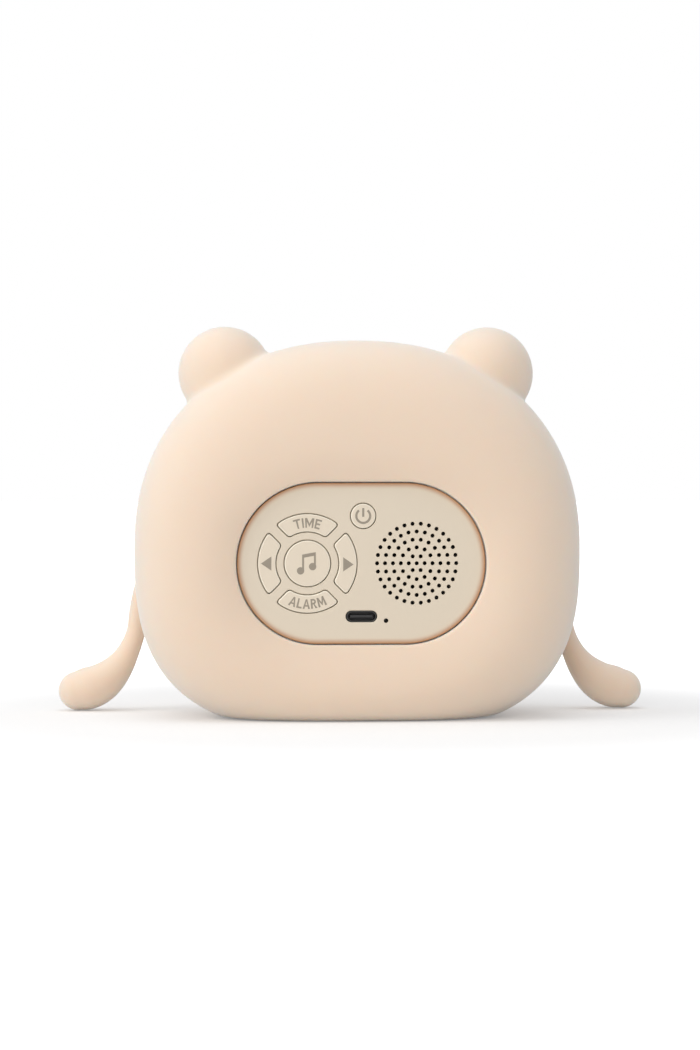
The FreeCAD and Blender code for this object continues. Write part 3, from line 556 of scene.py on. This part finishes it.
def moulded_surface():
    """Node group for moulded plastic and silicone: a broad drift and a fine speckle of the colour, an uneven
    gloss, and a fine grain pressed in by the mould, all from noise on the object's own coordinates."""
    group, given, result = new_group(
        "moulded_surface",
        (("Color", "Color"), ("Drift", "Float"), ("Roughness", "Float"), ("Grain Scale", "Float"),
         ("Grain Height", "Float")),
        (("Color", "Color"), ("Roughness", "Float"), ("Normal", "Vector")))
    place = add_node(group, "TexCoord").outputs["Object"]
    broad = add_node(group, "TexNoise", {"Vector": place, "Scale": 26.0, "Detail": 3.0})
    fine = add_node(group, "TexNoise", {"Vector": place, "Scale": given["Grain Scale"], "Detail": 4.0})
    spread = add_node(group, "Math", {0: broad.outputs["Fac"], 1: 0.5}, operation="SUBTRACT")
    speck = add_node(
        group, "Math", {0: fine.outputs["Fac"], 1: 0.35, 2: spread.outputs[0]}, operation="MULTIPLY_ADD")
    amount = add_node(
        group, "Math", {0: speck.outputs[0], 1: given["Drift"], 2: 1.0}, operation="MULTIPLY_ADD")
    tint = add_node(
        group, "VectorMath", {0: given["Color"], "Scale": amount.outputs[0]}, operation="SCALE")
    gloss = add_node(
        group, "Math", {0: spread.outputs[0], 1: 0.16, 2: given["Roughness"]}, operation="MULTIPLY_ADD")
    grain = add_node(
        group, "Bump", {"Strength": 1.0, "Height": fine.outputs["Fac"], "Distance": given["Grain Height"]})
    group.links.new(tint.outputs["Vector"], result["Color"])
    group.links.new(gloss.outputs[0], result["Roughness"])
    group.links.new(grain.outputs["Normal"], result["Normal"])
    return group


moulded = moulded_surface()


def shader_of(material):
    """The shader that a material's surface is made with."""
    return material.node_tree.nodes["Principled BSDF"]


def moulded_material(name, color, roughness, drift=0.04, grain_scale=2600.0, grain_height=0.00001):
    """A material of one moulded or coated stuff."""
    material = bpy.data.materials.new(name)
    material.use_nodes = True
    surface = add_node(material.node_tree, "Group", {
        "Color": color, "Drift": drift, "Roughness": roughness, "Grain Scale": grain_scale,
        "Grain Height": grain_height}, node_tree=moulded)
    for output, socket in (("Color", "Base Color"), ("Roughness", "Roughness"), ("Normal", "Normal")):
        material.node_tree.links.new(surface.outputs[output], shader_of(material).inputs[socket])
    return material


def mix_in(material, other_color, factor):
    """Mixes another colour into a material's base colour, as much as a factor says."""
    tree, base = material.node_tree, shader_of(material).inputs["Base Color"]
    mixed = add_node(
        tree, "Mix", {"Factor": factor, "A": base.links[0].from_socket, "B": other_color}, data_type="RGBA")
    tree.links.new(mixed.outputs["Result"], base)


silicone = moulded_material("cream_silicone", screen(233, 211, 189), 0.62, drift=0.03)
for socket, value in (("Subsurface Weight", 0.35), ("Subsurface Radius", (1.0, 0.55, 0.35)),
                      ("Subsurface Scale", 0.0025), ("Specular IOR Level", 0.35), ("Sheen Weight", 0.4),
                      ("Sheen Roughness", 0.4)):
    shader_of(silicone).inputs[socket].default_value = value
# Painted sheen: the base colour is mixed paler where the silicone is seen at a slant, standing in for the
# light that its fine dust bloom throws back at grazing angles.
painted_sheen = add_node(silicone.node_tree, "LayerWeight", {"Blend": 0.3})
mix_in(silicone, screen(250, 240, 228), painted_sheen.outputs["Facing"])
skin = finished_piece("skin", skin_mesh, silicone)
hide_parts("silicone_skin")


# ---- Control panel
# A flat plate with full round ends that closes the skin's opening, snapped into the rear half of the core.
# It is injection moulded in beige plastic, with round sound holes, a slot for the charger and a pinhole.
edge_round = 0.32
ring_x, ring_inner, ring_outer, ring_split, ring_corner = 16.2, 9.55, 14.75, 3.4, 1.1
music_radius, power_radius, power_x, power_z = 6.85, 3.67, -0.5, 61.8
key_gap, key_proud = 0.27, 0.25
grille_x, hole_radius, hole_pitch, hole_rings = -16.6, 0.6, 2.38, 5
slot_width, slot_height, socket_z = 9.5, 3.5, 31.7
pin_x, pin_z, pin_radius, hole_flare = -7.4, 30.4, 0.68, 0.4
panel_back = panel_y - 2.2


def arc(middle, radius, start, stop, steps):
    """Points of an arc: middle plus radius times cosine and sine of evenly spaced turns."""
    turn = np.linspace(start, stop, steps)
    return np.stack([middle[0] + radius * np.cos(turn), middle[1] + radius * np.sin(turn)], -1)


def circle(middle, radius, steps):
    """Points of a full circle."""
    return arc(middle, radius, 0, 2 * math.pi, steps + 1)[:-1]


def stadium(width, height, middle, steps):
    """Outline of a bar with full round ends: two half circles."""
    reach, radius = (width - height) / 2, height / 2
    return np.concatenate([
        arc((middle[0] + reach, middle[1]), radius, -math.pi / 2, math.pi / 2, steps),
        arc((middle[0] - reach, middle[1]), radius, math.pi / 2, 3 * math.pi / 2, steps)])


def ring_key(heading, grow):
    """Outline of a quarter of a ring: two arcs and two straight sides, its corners quadratic curves."""
    inner, outer = ring_inner - grow, ring_outer + grow
    half_split, corner = ring_split / 2 - grow, ring_corner + grow / 2
    loops = []
    spread = {radius: math.pi / 4 - math.asin(half_split / radius) for radius in (inner, outer)}
    loops.append(arc((0, 0), outer, -spread[outer] + corner / outer, spread[outer] - corner / outer, 40))
    curve = np.linspace(0, 1, 8)[1:-1, None]
    slope = np.array([math.cos(math.pi / 4), math.sin(math.pi / 4)])
    for side in (1, -1):
        ends = []
        for radius in (outer, inner):
            tip = radius * np.array([math.cos(spread[radius]), side * math.sin(spread[radius])])
            along_arc = arc((0, 0), radius, 0, side * (spread[radius] - corner / radius), 2)[-1]
            inward = slope * np.array([1, side]) * (-corner if radius == outer else corner)
            ends.append((along_arc, tip, tip + inward))
        (start, tip, stop), (foot, low_tip, rise) = ends
        upper = (1 - curve) ** 2 * start + 2 * curve * (1 - curve) * tip + curve ** 2 * stop
        lower = (1 - curve) ** 2 * rise + 2 * curve * (1 - curve) * low_tip + curve ** 2 * foot
        chain = np.concatenate([upper, stop[None], rise[None], lower])
        loops.append(chain if side == 1 else chain[::-1])
        if side == 1:
            loops.append(arc((0, 0), inner, spread[inner] - corner / inner,
                             -spread[inner] + corner / inner, 30))
    loop = np.concatenate(loops)
    turned = np.stack([
        loop[:, 0] * math.cos(heading) - loop[:, 1] * math.sin(heading),
        loop[:, 0] * math.sin(heading) + loop[:, 1] * math.cos(heading)], -1)
    return turned + np.array([ring_x, panel_middle])


def plate_piece(name, outlines, profile, material, body):
    """A finished plate: each outline's wall is the outline itself, grown by each step of the profile and put
    at that step's depth. Flat fills between all the outlines close the first and the last step. The walls
    are shaded smooth and the fills flat."""
    points, faces, rims, count = [], [], ([], []), 0
    for outline in outlines:
        rows = [np.insert(outline(grow), 1, depth, axis=1) for grow, depth in profile]
        around = len(rows[0])
        ring = np.arange(around)
        following = (ring + 1) % around
        starts = count + np.arange(len(rows) - 1)[:, None] * around
        faces += np.stack([
            starts + ring, starts + following, starts + around + following, starts + around + ring],
            -1).reshape(-1, 4).tolist()
        for rim, start in zip(rims, (count, count + (len(rows) - 1) * around)):
            rim.append(np.stack([start + ring, start + following], -1))
        points += rows
        count += around * len(rows)
    mesh = made_mesh(name, np.concatenate(points), faces)
    for rim, facing in zip(rims, (1, -1)):
        # An edge is known by its lower point's number, times the count, plus its higher point's.
        known, wanted = [
            np.sort(pairs, axis=1) @ (count, 1)
            for pairs in (values_of(mesh.edges, "vertices", 2), np.concatenate(rim))]
        order = np.argsort(known)
        edges = order[np.searchsorted(known, wanted, sorter=order)]
        edited(mesh, lambda work: bmesh.ops.triangle_fill(
            work, use_beauty=True, edges=[work.edges[edge] for edge in edges], normal=(0, facing, 0)))
    edited(mesh, lambda work: bmesh.ops.recalc_face_normals(work, faces=work.faces))
    return finished_piece(
        name, mesh, material, body, smooth=np.arange(len(mesh.polygons)) < len(faces))


def rounded_profile(top, bottom, edge):
    """Steps of a wall whose upper edge is a quarter circle: grown by -edge (1 - sin), lower by
    edge (1 - cos)."""
    turn = np.linspace(0, math.pi / 2, 6)
    rounding = np.stack([-edge * (1 - np.sin(turn)), top - edge * (1 - np.cos(turn))], -1)
    return [tuple(step) for step in rounding] + [(0.0, bottom)]


key_outlines = {
    "time_key": lambda grow: ring_key(math.pi / 2, grow),
    "alarm_key": lambda grow: ring_key(-math.pi / 2, grow),
    "left_key": lambda grow: ring_key(0, grow),
    "right_key": lambda grow: ring_key(math.pi, grow),
    "music_key": lambda grow: circle((ring_x, panel_middle), music_radius + grow, 96),
    "power_key": lambda grow: circle((power_x, power_z), power_radius + grow, 64),
}
outlines = [
    lambda grow: stadium(panel_width + 2 * grow, panel_height + 2 * grow, (0, panel_middle), 64)]
outlines += [lambda grow, shape=shape: shape(key_gap - grow) for shape in key_outlines.values()]
hole_middles = [(grille_x, panel_middle)] + [
    (grille_x + ring * hole_pitch * math.cos(step * math.pi / 3 / ring),
     panel_middle + ring * hole_pitch * math.sin(step * math.pi / 3 / ring))
    for ring in range(1, hole_rings + 1) for step in range(6 * ring)]
outlines += [lambda grow, middle=middle: circle(middle, hole_radius - hole_flare * grow, 20)
             for middle in hole_middles]
outlines.append(lambda grow: stadium(slot_width - 2 * grow, slot_height - 2 * grow, (0, socket_z), 20))
outlines.append(lambda grow: circle((pin_x, pin_z), pin_radius - hole_flare * grow, 24))


def edge_highlight():
    """Node group for a painted highlight on rounded edges: how far a face turns away from the panel's plane,
    read from its normal, mixes the paler highlight colour in, and no longer where the wall stands upright."""
    group, given, result = new_group(
        "edge_highlight", (("Color", "Color"), ("Highlight Color", "Color")), (("Color", "Color"),))
    facing = add_node(group, "SeparateXYZ", {"Vector": add_node(group, "NewGeometry").outputs["Normal"]})
    turned, not_upright = [
        add_node(group, "MapRange", {"Value": facing.outputs["Y"], "From Min": start, "From Max": stop})
        for start, stop in ((0.995, 0.9), (0.2, 0.5))]
    rim = add_node(
        group, "Math", {0: turned.outputs["Result"], 1: not_upright.outputs["Result"]},
        operation="MULTIPLY")
    mixed = add_node(
        group, "Mix", {"Factor": rim.outputs[0], "A": given["Color"], "B": given["Highlight Color"]},
        data_type="RGBA")
    group.links.new(mixed.outputs["Result"], result["Color"])
    return group


highlight_group = edge_highlight()


def painted_rim_highlight(material, rim_color):
    """Puts the painted edge highlight between a material's own colour and its shader."""
    tree, base = material.node_tree, shader_of(material).inputs["Base Color"]
    rims = add_node(
        tree, "Group", {"Color": base.links[0].from_socket, "Highlight Color": rim_color}, node_tree=highlight_group)
    tree.links.new(rims.outputs["Color"], base)


def painted_bounce_shade(material, bounce_shade_color, band, overlap):
    """Painted shade, warmed by light bounced off the silicone, on the plate's border: the distance from the
    middle line of a bar with round ends, from the object's own coordinates, mixes the dark warm colour in
    over the last millimetres."""
    tree = material.node_tree
    place = add_node(tree, "SeparateXYZ", {"Vector": add_node(tree, "TexCoord").outputs["Object"]})
    aside = add_node(tree, "Math", {0: place.outputs["X"], 1: 0.0}, operation="ABSOLUTE")
    beyond = add_node(
        tree, "Math", {0: aside.outputs[0], 1: (panel_width - panel_height) / 2 * mm}, operation="SUBTRACT")
    across = add_node(tree, "Math", {0: beyond.outputs[0], 1: 0.0}, operation="MAXIMUM")
    above = add_node(tree, "Math", {0: place.outputs["Z"], 1: panel_middle * mm}, operation="SUBTRACT")
    flat = add_node(tree, "CombineXYZ", {"X": across.outputs[0], "Y": above.outputs[0]})
    away = add_node(tree, "VectorMath", {0: flat.outputs["Vector"]}, operation="LENGTH")
    border = add_node(
        tree, "MapRange",
        {"Value": away.outputs["Value"], "From Min": (panel_height / 2 - band) * mm,
         "From Max": (panel_height / 2 + overlap) * mm}, interpolation_type="SMOOTHERSTEP")
    mix_in(material, bounce_shade_color, border.outputs["Result"])


panel_plastic = moulded_material(
    "panel_plastic", screen(222, 208, 187), 0.46, drift=0.02, grain_scale=3800.0, grain_height=0.000006)
# Painted highlight: the panel's rounded edges are coloured paler.
painted_rim_highlight(panel_plastic, screen(230, 218, 198))
# Painted shade and bounced light: the plate's border by the silicone lip is coloured a darker warm brown.
painted_bounce_shade(panel_plastic, screen(184, 132, 88), band=2.2, overlap=0.4)
panel = plate_piece(
    "panel", outlines, rounded_profile(panel_y, panel_back, edge_round), panel_plastic, "body")
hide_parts("control_panel")

# Moulded on the plate's back: a collar round the speaker, four bosses bored for the board's screws, and four
# springy hooks that catch under the seat of the core.
board_back, fixing_root = 24.4, panel_back + 0.2
collar_inner, collar_wall, collar_height = 14.15, 1.0, 2.5
boss_radius, boss_bore, bore_end, boss_turn, boss_reach = 2.2, 0.9, 27.8, math.radians(118), 17.0
boss_x, boss_rise = 7.0, 18.2
hook_x, hook_half_width, hook_thickness, hook_barb = 11.5, 2.0, 1.2, 0.8
hook_outer, hook_catch = panel_height / 2 - 2.3, 26.7


def revolved(x, z, profile):
    """A turned form: each step of the profile, a radius and a depth, becomes a circle round a line in y."""
    turn = np.linspace(0, 2 * math.pi, 49)[:-1]
    return closed_rows([
        np.stack([x + radius * np.cos(turn), np.full_like(turn, depth), z + radius * np.sin(turn)], -1)
        for radius, depth in profile])


collar_rings = [
    lambda grow, radius=radius: circle((grille_x, panel_middle), radius, 96)
    for radius in (collar_inner + collar_wall, collar_inner)]
plate_piece(
    "speaker_collar", collar_rings, [(0.0, fixing_root), (0.0, panel_back - collar_height)],
    panel_plastic, "body")
boss_middles = [(boss_x, panel_middle + end * boss_rise) for end in (-1, 1)] + [
    (grille_x + boss_reach * math.cos(boss_turn), panel_middle + end * boss_reach * math.sin(boss_turn))
    for end in (-1, 1)]
boss_profile = [(0.0, bore_end), (boss_bore, bore_end), (boss_bore, board_back), (boss_radius, board_back),
                (boss_radius, fixing_root), (0.0, fixing_root)]
for number, (x, z) in enumerate(boss_middles):
    finished_piece(
        "panel_boss_%d" % number, made_mesh("panel_boss", *revolved(x, z, boss_profile)), panel_plastic,
        smooth=False)


def hook_surface(side, end):
    """A hook: its outline, seen from the side, carried straight across its width."""
    outline = np.array([
        (hook_outer - hook_thickness, fixing_root), (hook_outer, fixing_root), (hook_outer, hook_catch),
        (hook_outer + hook_barb, hook_catch), (hook_outer, board_back),
        (hook_outer - hook_thickness, board_back)])
    count = len(outline)
    ring = np.arange(count)
    following = (ring + 1) % count
    rows = [np.stack([
        np.full(count, side * hook_x + across), outline[:, 1], panel_middle + end * outline[:, 0]], -1)
        for across in (-hook_half_width, hook_half_width)]
    walls = np.stack([ring, following, count + following, count + ring], -1)
    return np.concatenate(rows), walls.tolist() + [ring.tolist(), (count + ring)[::-1].tolist()]


for number, (side, end) in enumerate(((-1, -1), (1, -1), (-1, 1), (1, 1))):
    finished_piece(
        "panel_hook_%d" % number, made_mesh("panel_hook", *hook_surface(side, end)), panel_plastic,
        smooth=False)


# ---- Keys
# Four quarters of a ring round a disc, and a small round key above the middle, each free to sink 0.4 mm.
# They are moulded in the panel's plastic, with a flange behind the panel that keeps them from falling out
# and a stem that rests on the switch's plunger.
key_top, flange_top = panel_y + key_proud, 28.75
flange_back, stem_radius, plunger_tip = flange_top - 0.8, 1.3, 26.6
stem_profile = [(0.0, plunger_tip), (stem_radius - 0.15, plunger_tip), (stem_radius, plunger_tip + 0.15),
                (stem_radius, flange_back + 0.2), (0.0, flange_back + 0.2)]
ring_reach = (ring_inner + ring_outer) / 2
key_middles = {
    "time_key": (ring_x, panel_middle + ring_reach),
    "alarm_key": (ring_x, panel_middle - ring_reach),
    "left_key": (ring_x + ring_reach, panel_middle),
    "right_key": (ring_x - ring_reach, panel_middle),
    "music_key": (ring_x, panel_middle),
    "power_key": (power_x, power_z),
}
key_profile = rounded_profile(key_top, flange_top, 0.38) + [(0.9, flange_top), (0.9, flange_back)]
key_plastic = moulded_material(
    "key_plastic", screen(227, 213, 192), 0.44, drift=0.02, grain_scale=3800.0, grain_height=0.000006)
# Painted highlight: the keys' rounded edges are coloured paler.
painted_rim_highlight(key_plastic, screen(248, 240, 222))
for name, shape in key_outlines.items():
    button = name.replace("_key", "_button")
    key = plate_piece(name + "_cap", [shape], key_profile, key_plastic, button)
    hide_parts(name)
    finished_piece(
        name + "_stem", made_mesh(name + "_stem", *revolved(*key_middles[name], stem_profile)), key_plastic,
        button)


# ---- Key symbols
# Raised 0.04 mm above the keys and printed grey: a note, two arrows, the usual sign for on and off, and the
# words TIME and ALARM, drawn as seen by somebody who looks at the panel and bent round the ring.
symbol_profile = [(0.0, key_top + 0.04), (0.0, key_top - 0.05)]
letter_height, stroke = 2.9, 0.5
symbol_ink = moulded_material(
    "symbol_ink", screen(152, 141, 125), 0.5, drift=0.05, grain_scale=5200.0, grain_height=0.000004)


def seen(middle, corners):
    """Points given to the right and up from a middle, as seen from behind the clock."""
    corners = np.array(corners)
    return np.stack([middle[0] - corners[:, 0], middle[1] + corners[:, 1]], -1)


def letter(kind, width):
    """Outlines of a letter: its outer corners, and those of its hole where it has one. It is w mm wide and
    one unit high, and its strokes are t mm wide, which is s of its height."""
    w, t, s = width, stroke, stroke / letter_height
    if kind == "T":
        return [[(0, 1), (w, 1), (w, 1 - s), (w / 2 + t / 2, 1 - s), (w / 2 + t / 2, 0),
                 (w / 2 - t / 2, 0), (w / 2 - t / 2, 1 - s), (0, 1 - s)]]
    if kind == "I":
        return [[(0, 0), (0, 1), (w, 1), (w, 0)]]
    if kind == "L":
        return [[(0, 0), (0, 1), (t, 1), (t, s), (w, s), (w, 0)]]
    if kind == "E":
        return [[(0, 0), (0, 1), (w, 1), (w, 1 - s), (t, 1 - s), (t, 0.5 + s / 2), (0.88 * w, 0.5 + s / 2),
                 (0.88 * w, 0.5 - s / 2), (t, 0.5 - s / 2), (t, s), (w, s), (w, 0)]]
    if kind == "M":
        return [[(0, 0), (0, 1), (t * 1.15, 1), (w / 2, 0.42), (w - t * 1.15, 1), (w, 1), (w, 0),
                 (w - t, 0), (w - t, 0.62), (w / 2, 0.08), (t, 0.62), (t, 0)]]
    if kind == "A":
        return [[(0, 0), (w / 2 - 0.55 * t, 1), (w / 2 + 0.55 * t, 1), (w, 0), (w - t, 0),
                 (0.81 * w - 0.5 * t, 0.24), (0.19 * w + 0.5 * t, 0.24), (t, 0)],
                [(0.25 * w + 0.45 * t, 0.4), (w / 2, 0.8), (0.75 * w - 0.45 * t, 0.4)]]
    bend = arc((0, 0), 1, math.pi / 2, -math.pi / 2, 9)
    outer = bend * [0.5 * w, 0.29] + [0.45 * w, 0.71]
    inner = bend[::-1] * [0.5 * w - t, 0.29 - s] + [0.45 * w, 0.71]
    return [[(0, 0), (0, 1)] + outer[:-1].tolist() + [
        (0.62 * w, 0.43), (w, 0), (w - 1.15 * t, 0), (0.45 * w, 0.42), (t, 0.42), (t, 0)],
        [(t, 0.42 + s), (t, 1 - s)] + inner[::-1].tolist()]


def bent(corners, start, upside):
    """Letter corners bent round the ring: along the line is the turn, up is the radius; sides are cut into
    short runs so that they follow the bend."""
    corners = np.array(corners, float)
    ahead = np.roll(corners, -1, axis=0)
    share = np.linspace(0, 1, 7)[:-1, None, None]
    line = ((1 - share) * corners + share * ahead).transpose(1, 0, 2).reshape(-1, 2)
    radius = ring_reach + upside * (line[:, 1] - 0.5) * letter_height
    turn = (start + line[:, 0]) / ring_reach
    return seen((ring_x, panel_middle), np.stack([
        radius * np.sin(turn), upside * radius * np.cos(turn)], -1))


def symbol(name, loops, body):
    """A thin raised plate between fixed outlines."""
    shapes = [lambda grow, loop=loop: loop for loop in loops]
    plate_piece(name, shapes, symbol_profile, symbol_ink, body)


words = {
    "time": (1, 0.45, (("T", 1.95), ("I", stroke), ("M", 2.55), ("E", 1.7))),
    "alarm": (-1, 0.32, (("A", 2.0), ("L", 1.45), ("A", 2.0), ("R", 1.75), ("M", 2.35))),
}
for word, (upside, space, letters) in words.items():
    start = -(sum(width for _, width in letters) + space * (len(letters) - 1)) / 2
    for number, (kind, width) in enumerate(letters):
        symbol(
            "%s_letter_%d" % (word, number),
            [bent(corners, start, upside) for corners in letter(kind, width)], word + "_button")
        start += width + space

ring_middle = (ring_x, panel_middle)
symbol("left_arrow", [seen(ring_middle, [(-13.9, 0), (-10.8, 2.1), (-10.8, -2.1)])], "left_button")
symbol("right_arrow", [seen(ring_middle, [(13.8, -0.3), (10.7, 1.85), (10.7, -2.4)])], "right_button")


def stemmed_head(middle, radius, stem_right, stem_left):
    """A round note head, open above between the two sides of its stem, drawn clockwise."""
    first = math.acos((stem_right - middle[0]) / radius)
    last = math.acos((stem_left - middle[0]) / radius) - 2 * math.pi
    return arc(middle, radius, first, last, 40)


note = np.concatenate([
    stemmed_head((-2.07, -2.19), 1.1, -1.02, -1.6), [(-1.6, 2.65), (2.5, 3.4)],
    stemmed_head((1.53, -0.93), 1.1, 2.5, 1.95), [(1.95, 2.3), (-1.02, 1.75)]])
symbol("note", [seen(ring_middle, note)], "music_button")
power_middle, gap_turn = (power_x, power_z), math.radians(38)
arc_start, arc_stop = math.pi / 2 + gap_turn, 5 * math.pi / 2 - gap_turn
power_ring = np.concatenate([
    arc((0, 0), 2.4, arc_start, arc_stop, 48), arc((0, 0), 1.75, arc_stop, arc_start, 48)])
symbol("power_arc", [seen(power_middle, power_ring)], "power_button")
symbol("power_bar", [seen(power_middle, [(-0.32, -0.25), (-0.32, 2.35), (0.32, 2.35), (0.32, -0.25)])],
       "power_button")


# ---- Face plugs
# Two round eyes and an oval nose on the other side, moulded in dark silicone with a domed front, pushed into
# seats in the skin. The photograph doesn't show this side; the plugs are a guess.
plug_sink, plug_proud = 1.2, 0.9
eye_x, eye_z, eye_radius = 20.0, 72.0, 2.8
nose_z, nose_half_width, nose_half_height = 69.0, 3.6, 2.6
dark_silicone = moulded_material(
    "dark_silicone", screen(74, 56, 46), 0.5, drift=0.08, grain_scale=2600.0)


def plug_surface(x, z, half_width, half_height):
    """A domed plug: rows of an ellipse whose size and depth follow a quarter circle, closed flat behind."""
    turn = np.linspace(0, 2 * math.pi, 65)[:-1]
    steps = [(math.sin(rise), front_y - plug_proud * math.cos(rise))
             for rise in np.linspace(0, math.pi / 2, 13)]
    steps += [(part, front_y + plug_sink) for part in (1.0, 0.5, 0.0)]
    return closed_rows([
        np.stack([x + half_width * part * np.cos(turn), np.full_like(turn, depth),
                  z + half_height * part * np.sin(turn)], -1)
        for part, depth in steps])


for number, x in enumerate((-eye_x, eye_x)):
    eye = finished_piece(
        "eye_%d" % number, made_mesh("eye", *plug_surface(x, eye_z, eye_radius, eye_radius)), dark_silicone)
    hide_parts("face_eyes")
nose = finished_piece(
    "nose", made_mesh("nose", *plug_surface(0.0, nose_z, nose_half_width, nose_half_height)), dark_silicone)
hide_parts("face_nose")


# ---- Parts inside
# What the skin hides keeps its engineering shape: the milky core and chassis, boards, switches, the speaker,
# the charging socket, screws and the cell. Each gets the look of the stuff it is made of, and the socket's
# steel is also darkened, which paints in the shade inside the charging slot.
stuffs = {"cream_silicone": silicone, "dark_silicone": dark_silicone, "panel_plastic": panel_plastic,
          "key_plastic": key_plastic}
for name, color, roughness, metallic, drift, grain_scale, grain_height, sheen in (
        ("milky_plastic", (226, 224, 216), 0.42, 0.0, 0.05, 3000.0, 0.000006, 0.0),
        ("plunger_plastic", (70, 68, 66), 0.5, 0.0, 0.05, 3000.0, 0.000006, 0.0),
        ("board_laminate", (38, 92, 62), 0.38, 0.0, 0.22, 900.0, 0.00002, 0.0),
        ("switch_plastic", (48, 47, 46), 0.48, 0.0, 0.05, 3000.0, 0.000006, 0.0),
        ("black_plastic", (40, 39, 40), 0.42, 0.0, 0.05, 3000.0, 0.000006, 0.0),
        ("chip_plastic", (228, 214, 150), 0.35, 0.0, 0.05, 3000.0, 0.000006, 0.0),
        ("screw_steel", (176, 174, 170), 0.32, 1.0, 0.12, 700.0, 0.00001, 0.0),
        # The socket's steel is coloured nearly black: a dark plating, together with painted shade inside the
        # slot.
        ("socket_steel", (72, 71, 70), 0.38, 1.0, 0.12, 1500.0, 0.00001, 0.0),
        ("speaker_frame_steel", (92, 92, 94), 0.4, 1.0, 0.15, 900.0, 0.00001, 0.0),
        ("magnet_iron", (64, 62, 62), 0.62, 0.4, 0.3, 1200.0, 0.00003, 0.0),
        ("cone_paper", (46, 44, 42), 0.85, 0.0, 0.35, 1600.0, 0.00004, 0.2),
        ("foam_rubber", (34, 33, 33), 0.9, 0.0, 0.4, 2400.0, 0.00006, 0.3),
        ("cell_can", (86, 128, 158), 0.3, 0.0, 0.06, 400.0, 0.00001, 0.0)):
    stuffs[name] = moulded_material(name, screen(*color), roughness, drift, grain_scale, grain_height)
    shader_of(stuffs[name]).inputs["Metallic"].default_value = metallic
    shader_of(stuffs[name]).inputs["Sheen Weight"].default_value = sheen
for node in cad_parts.values():
    for place in node.material_slots:
        place.material = stuffs[place.material.name.split(".")[0]]
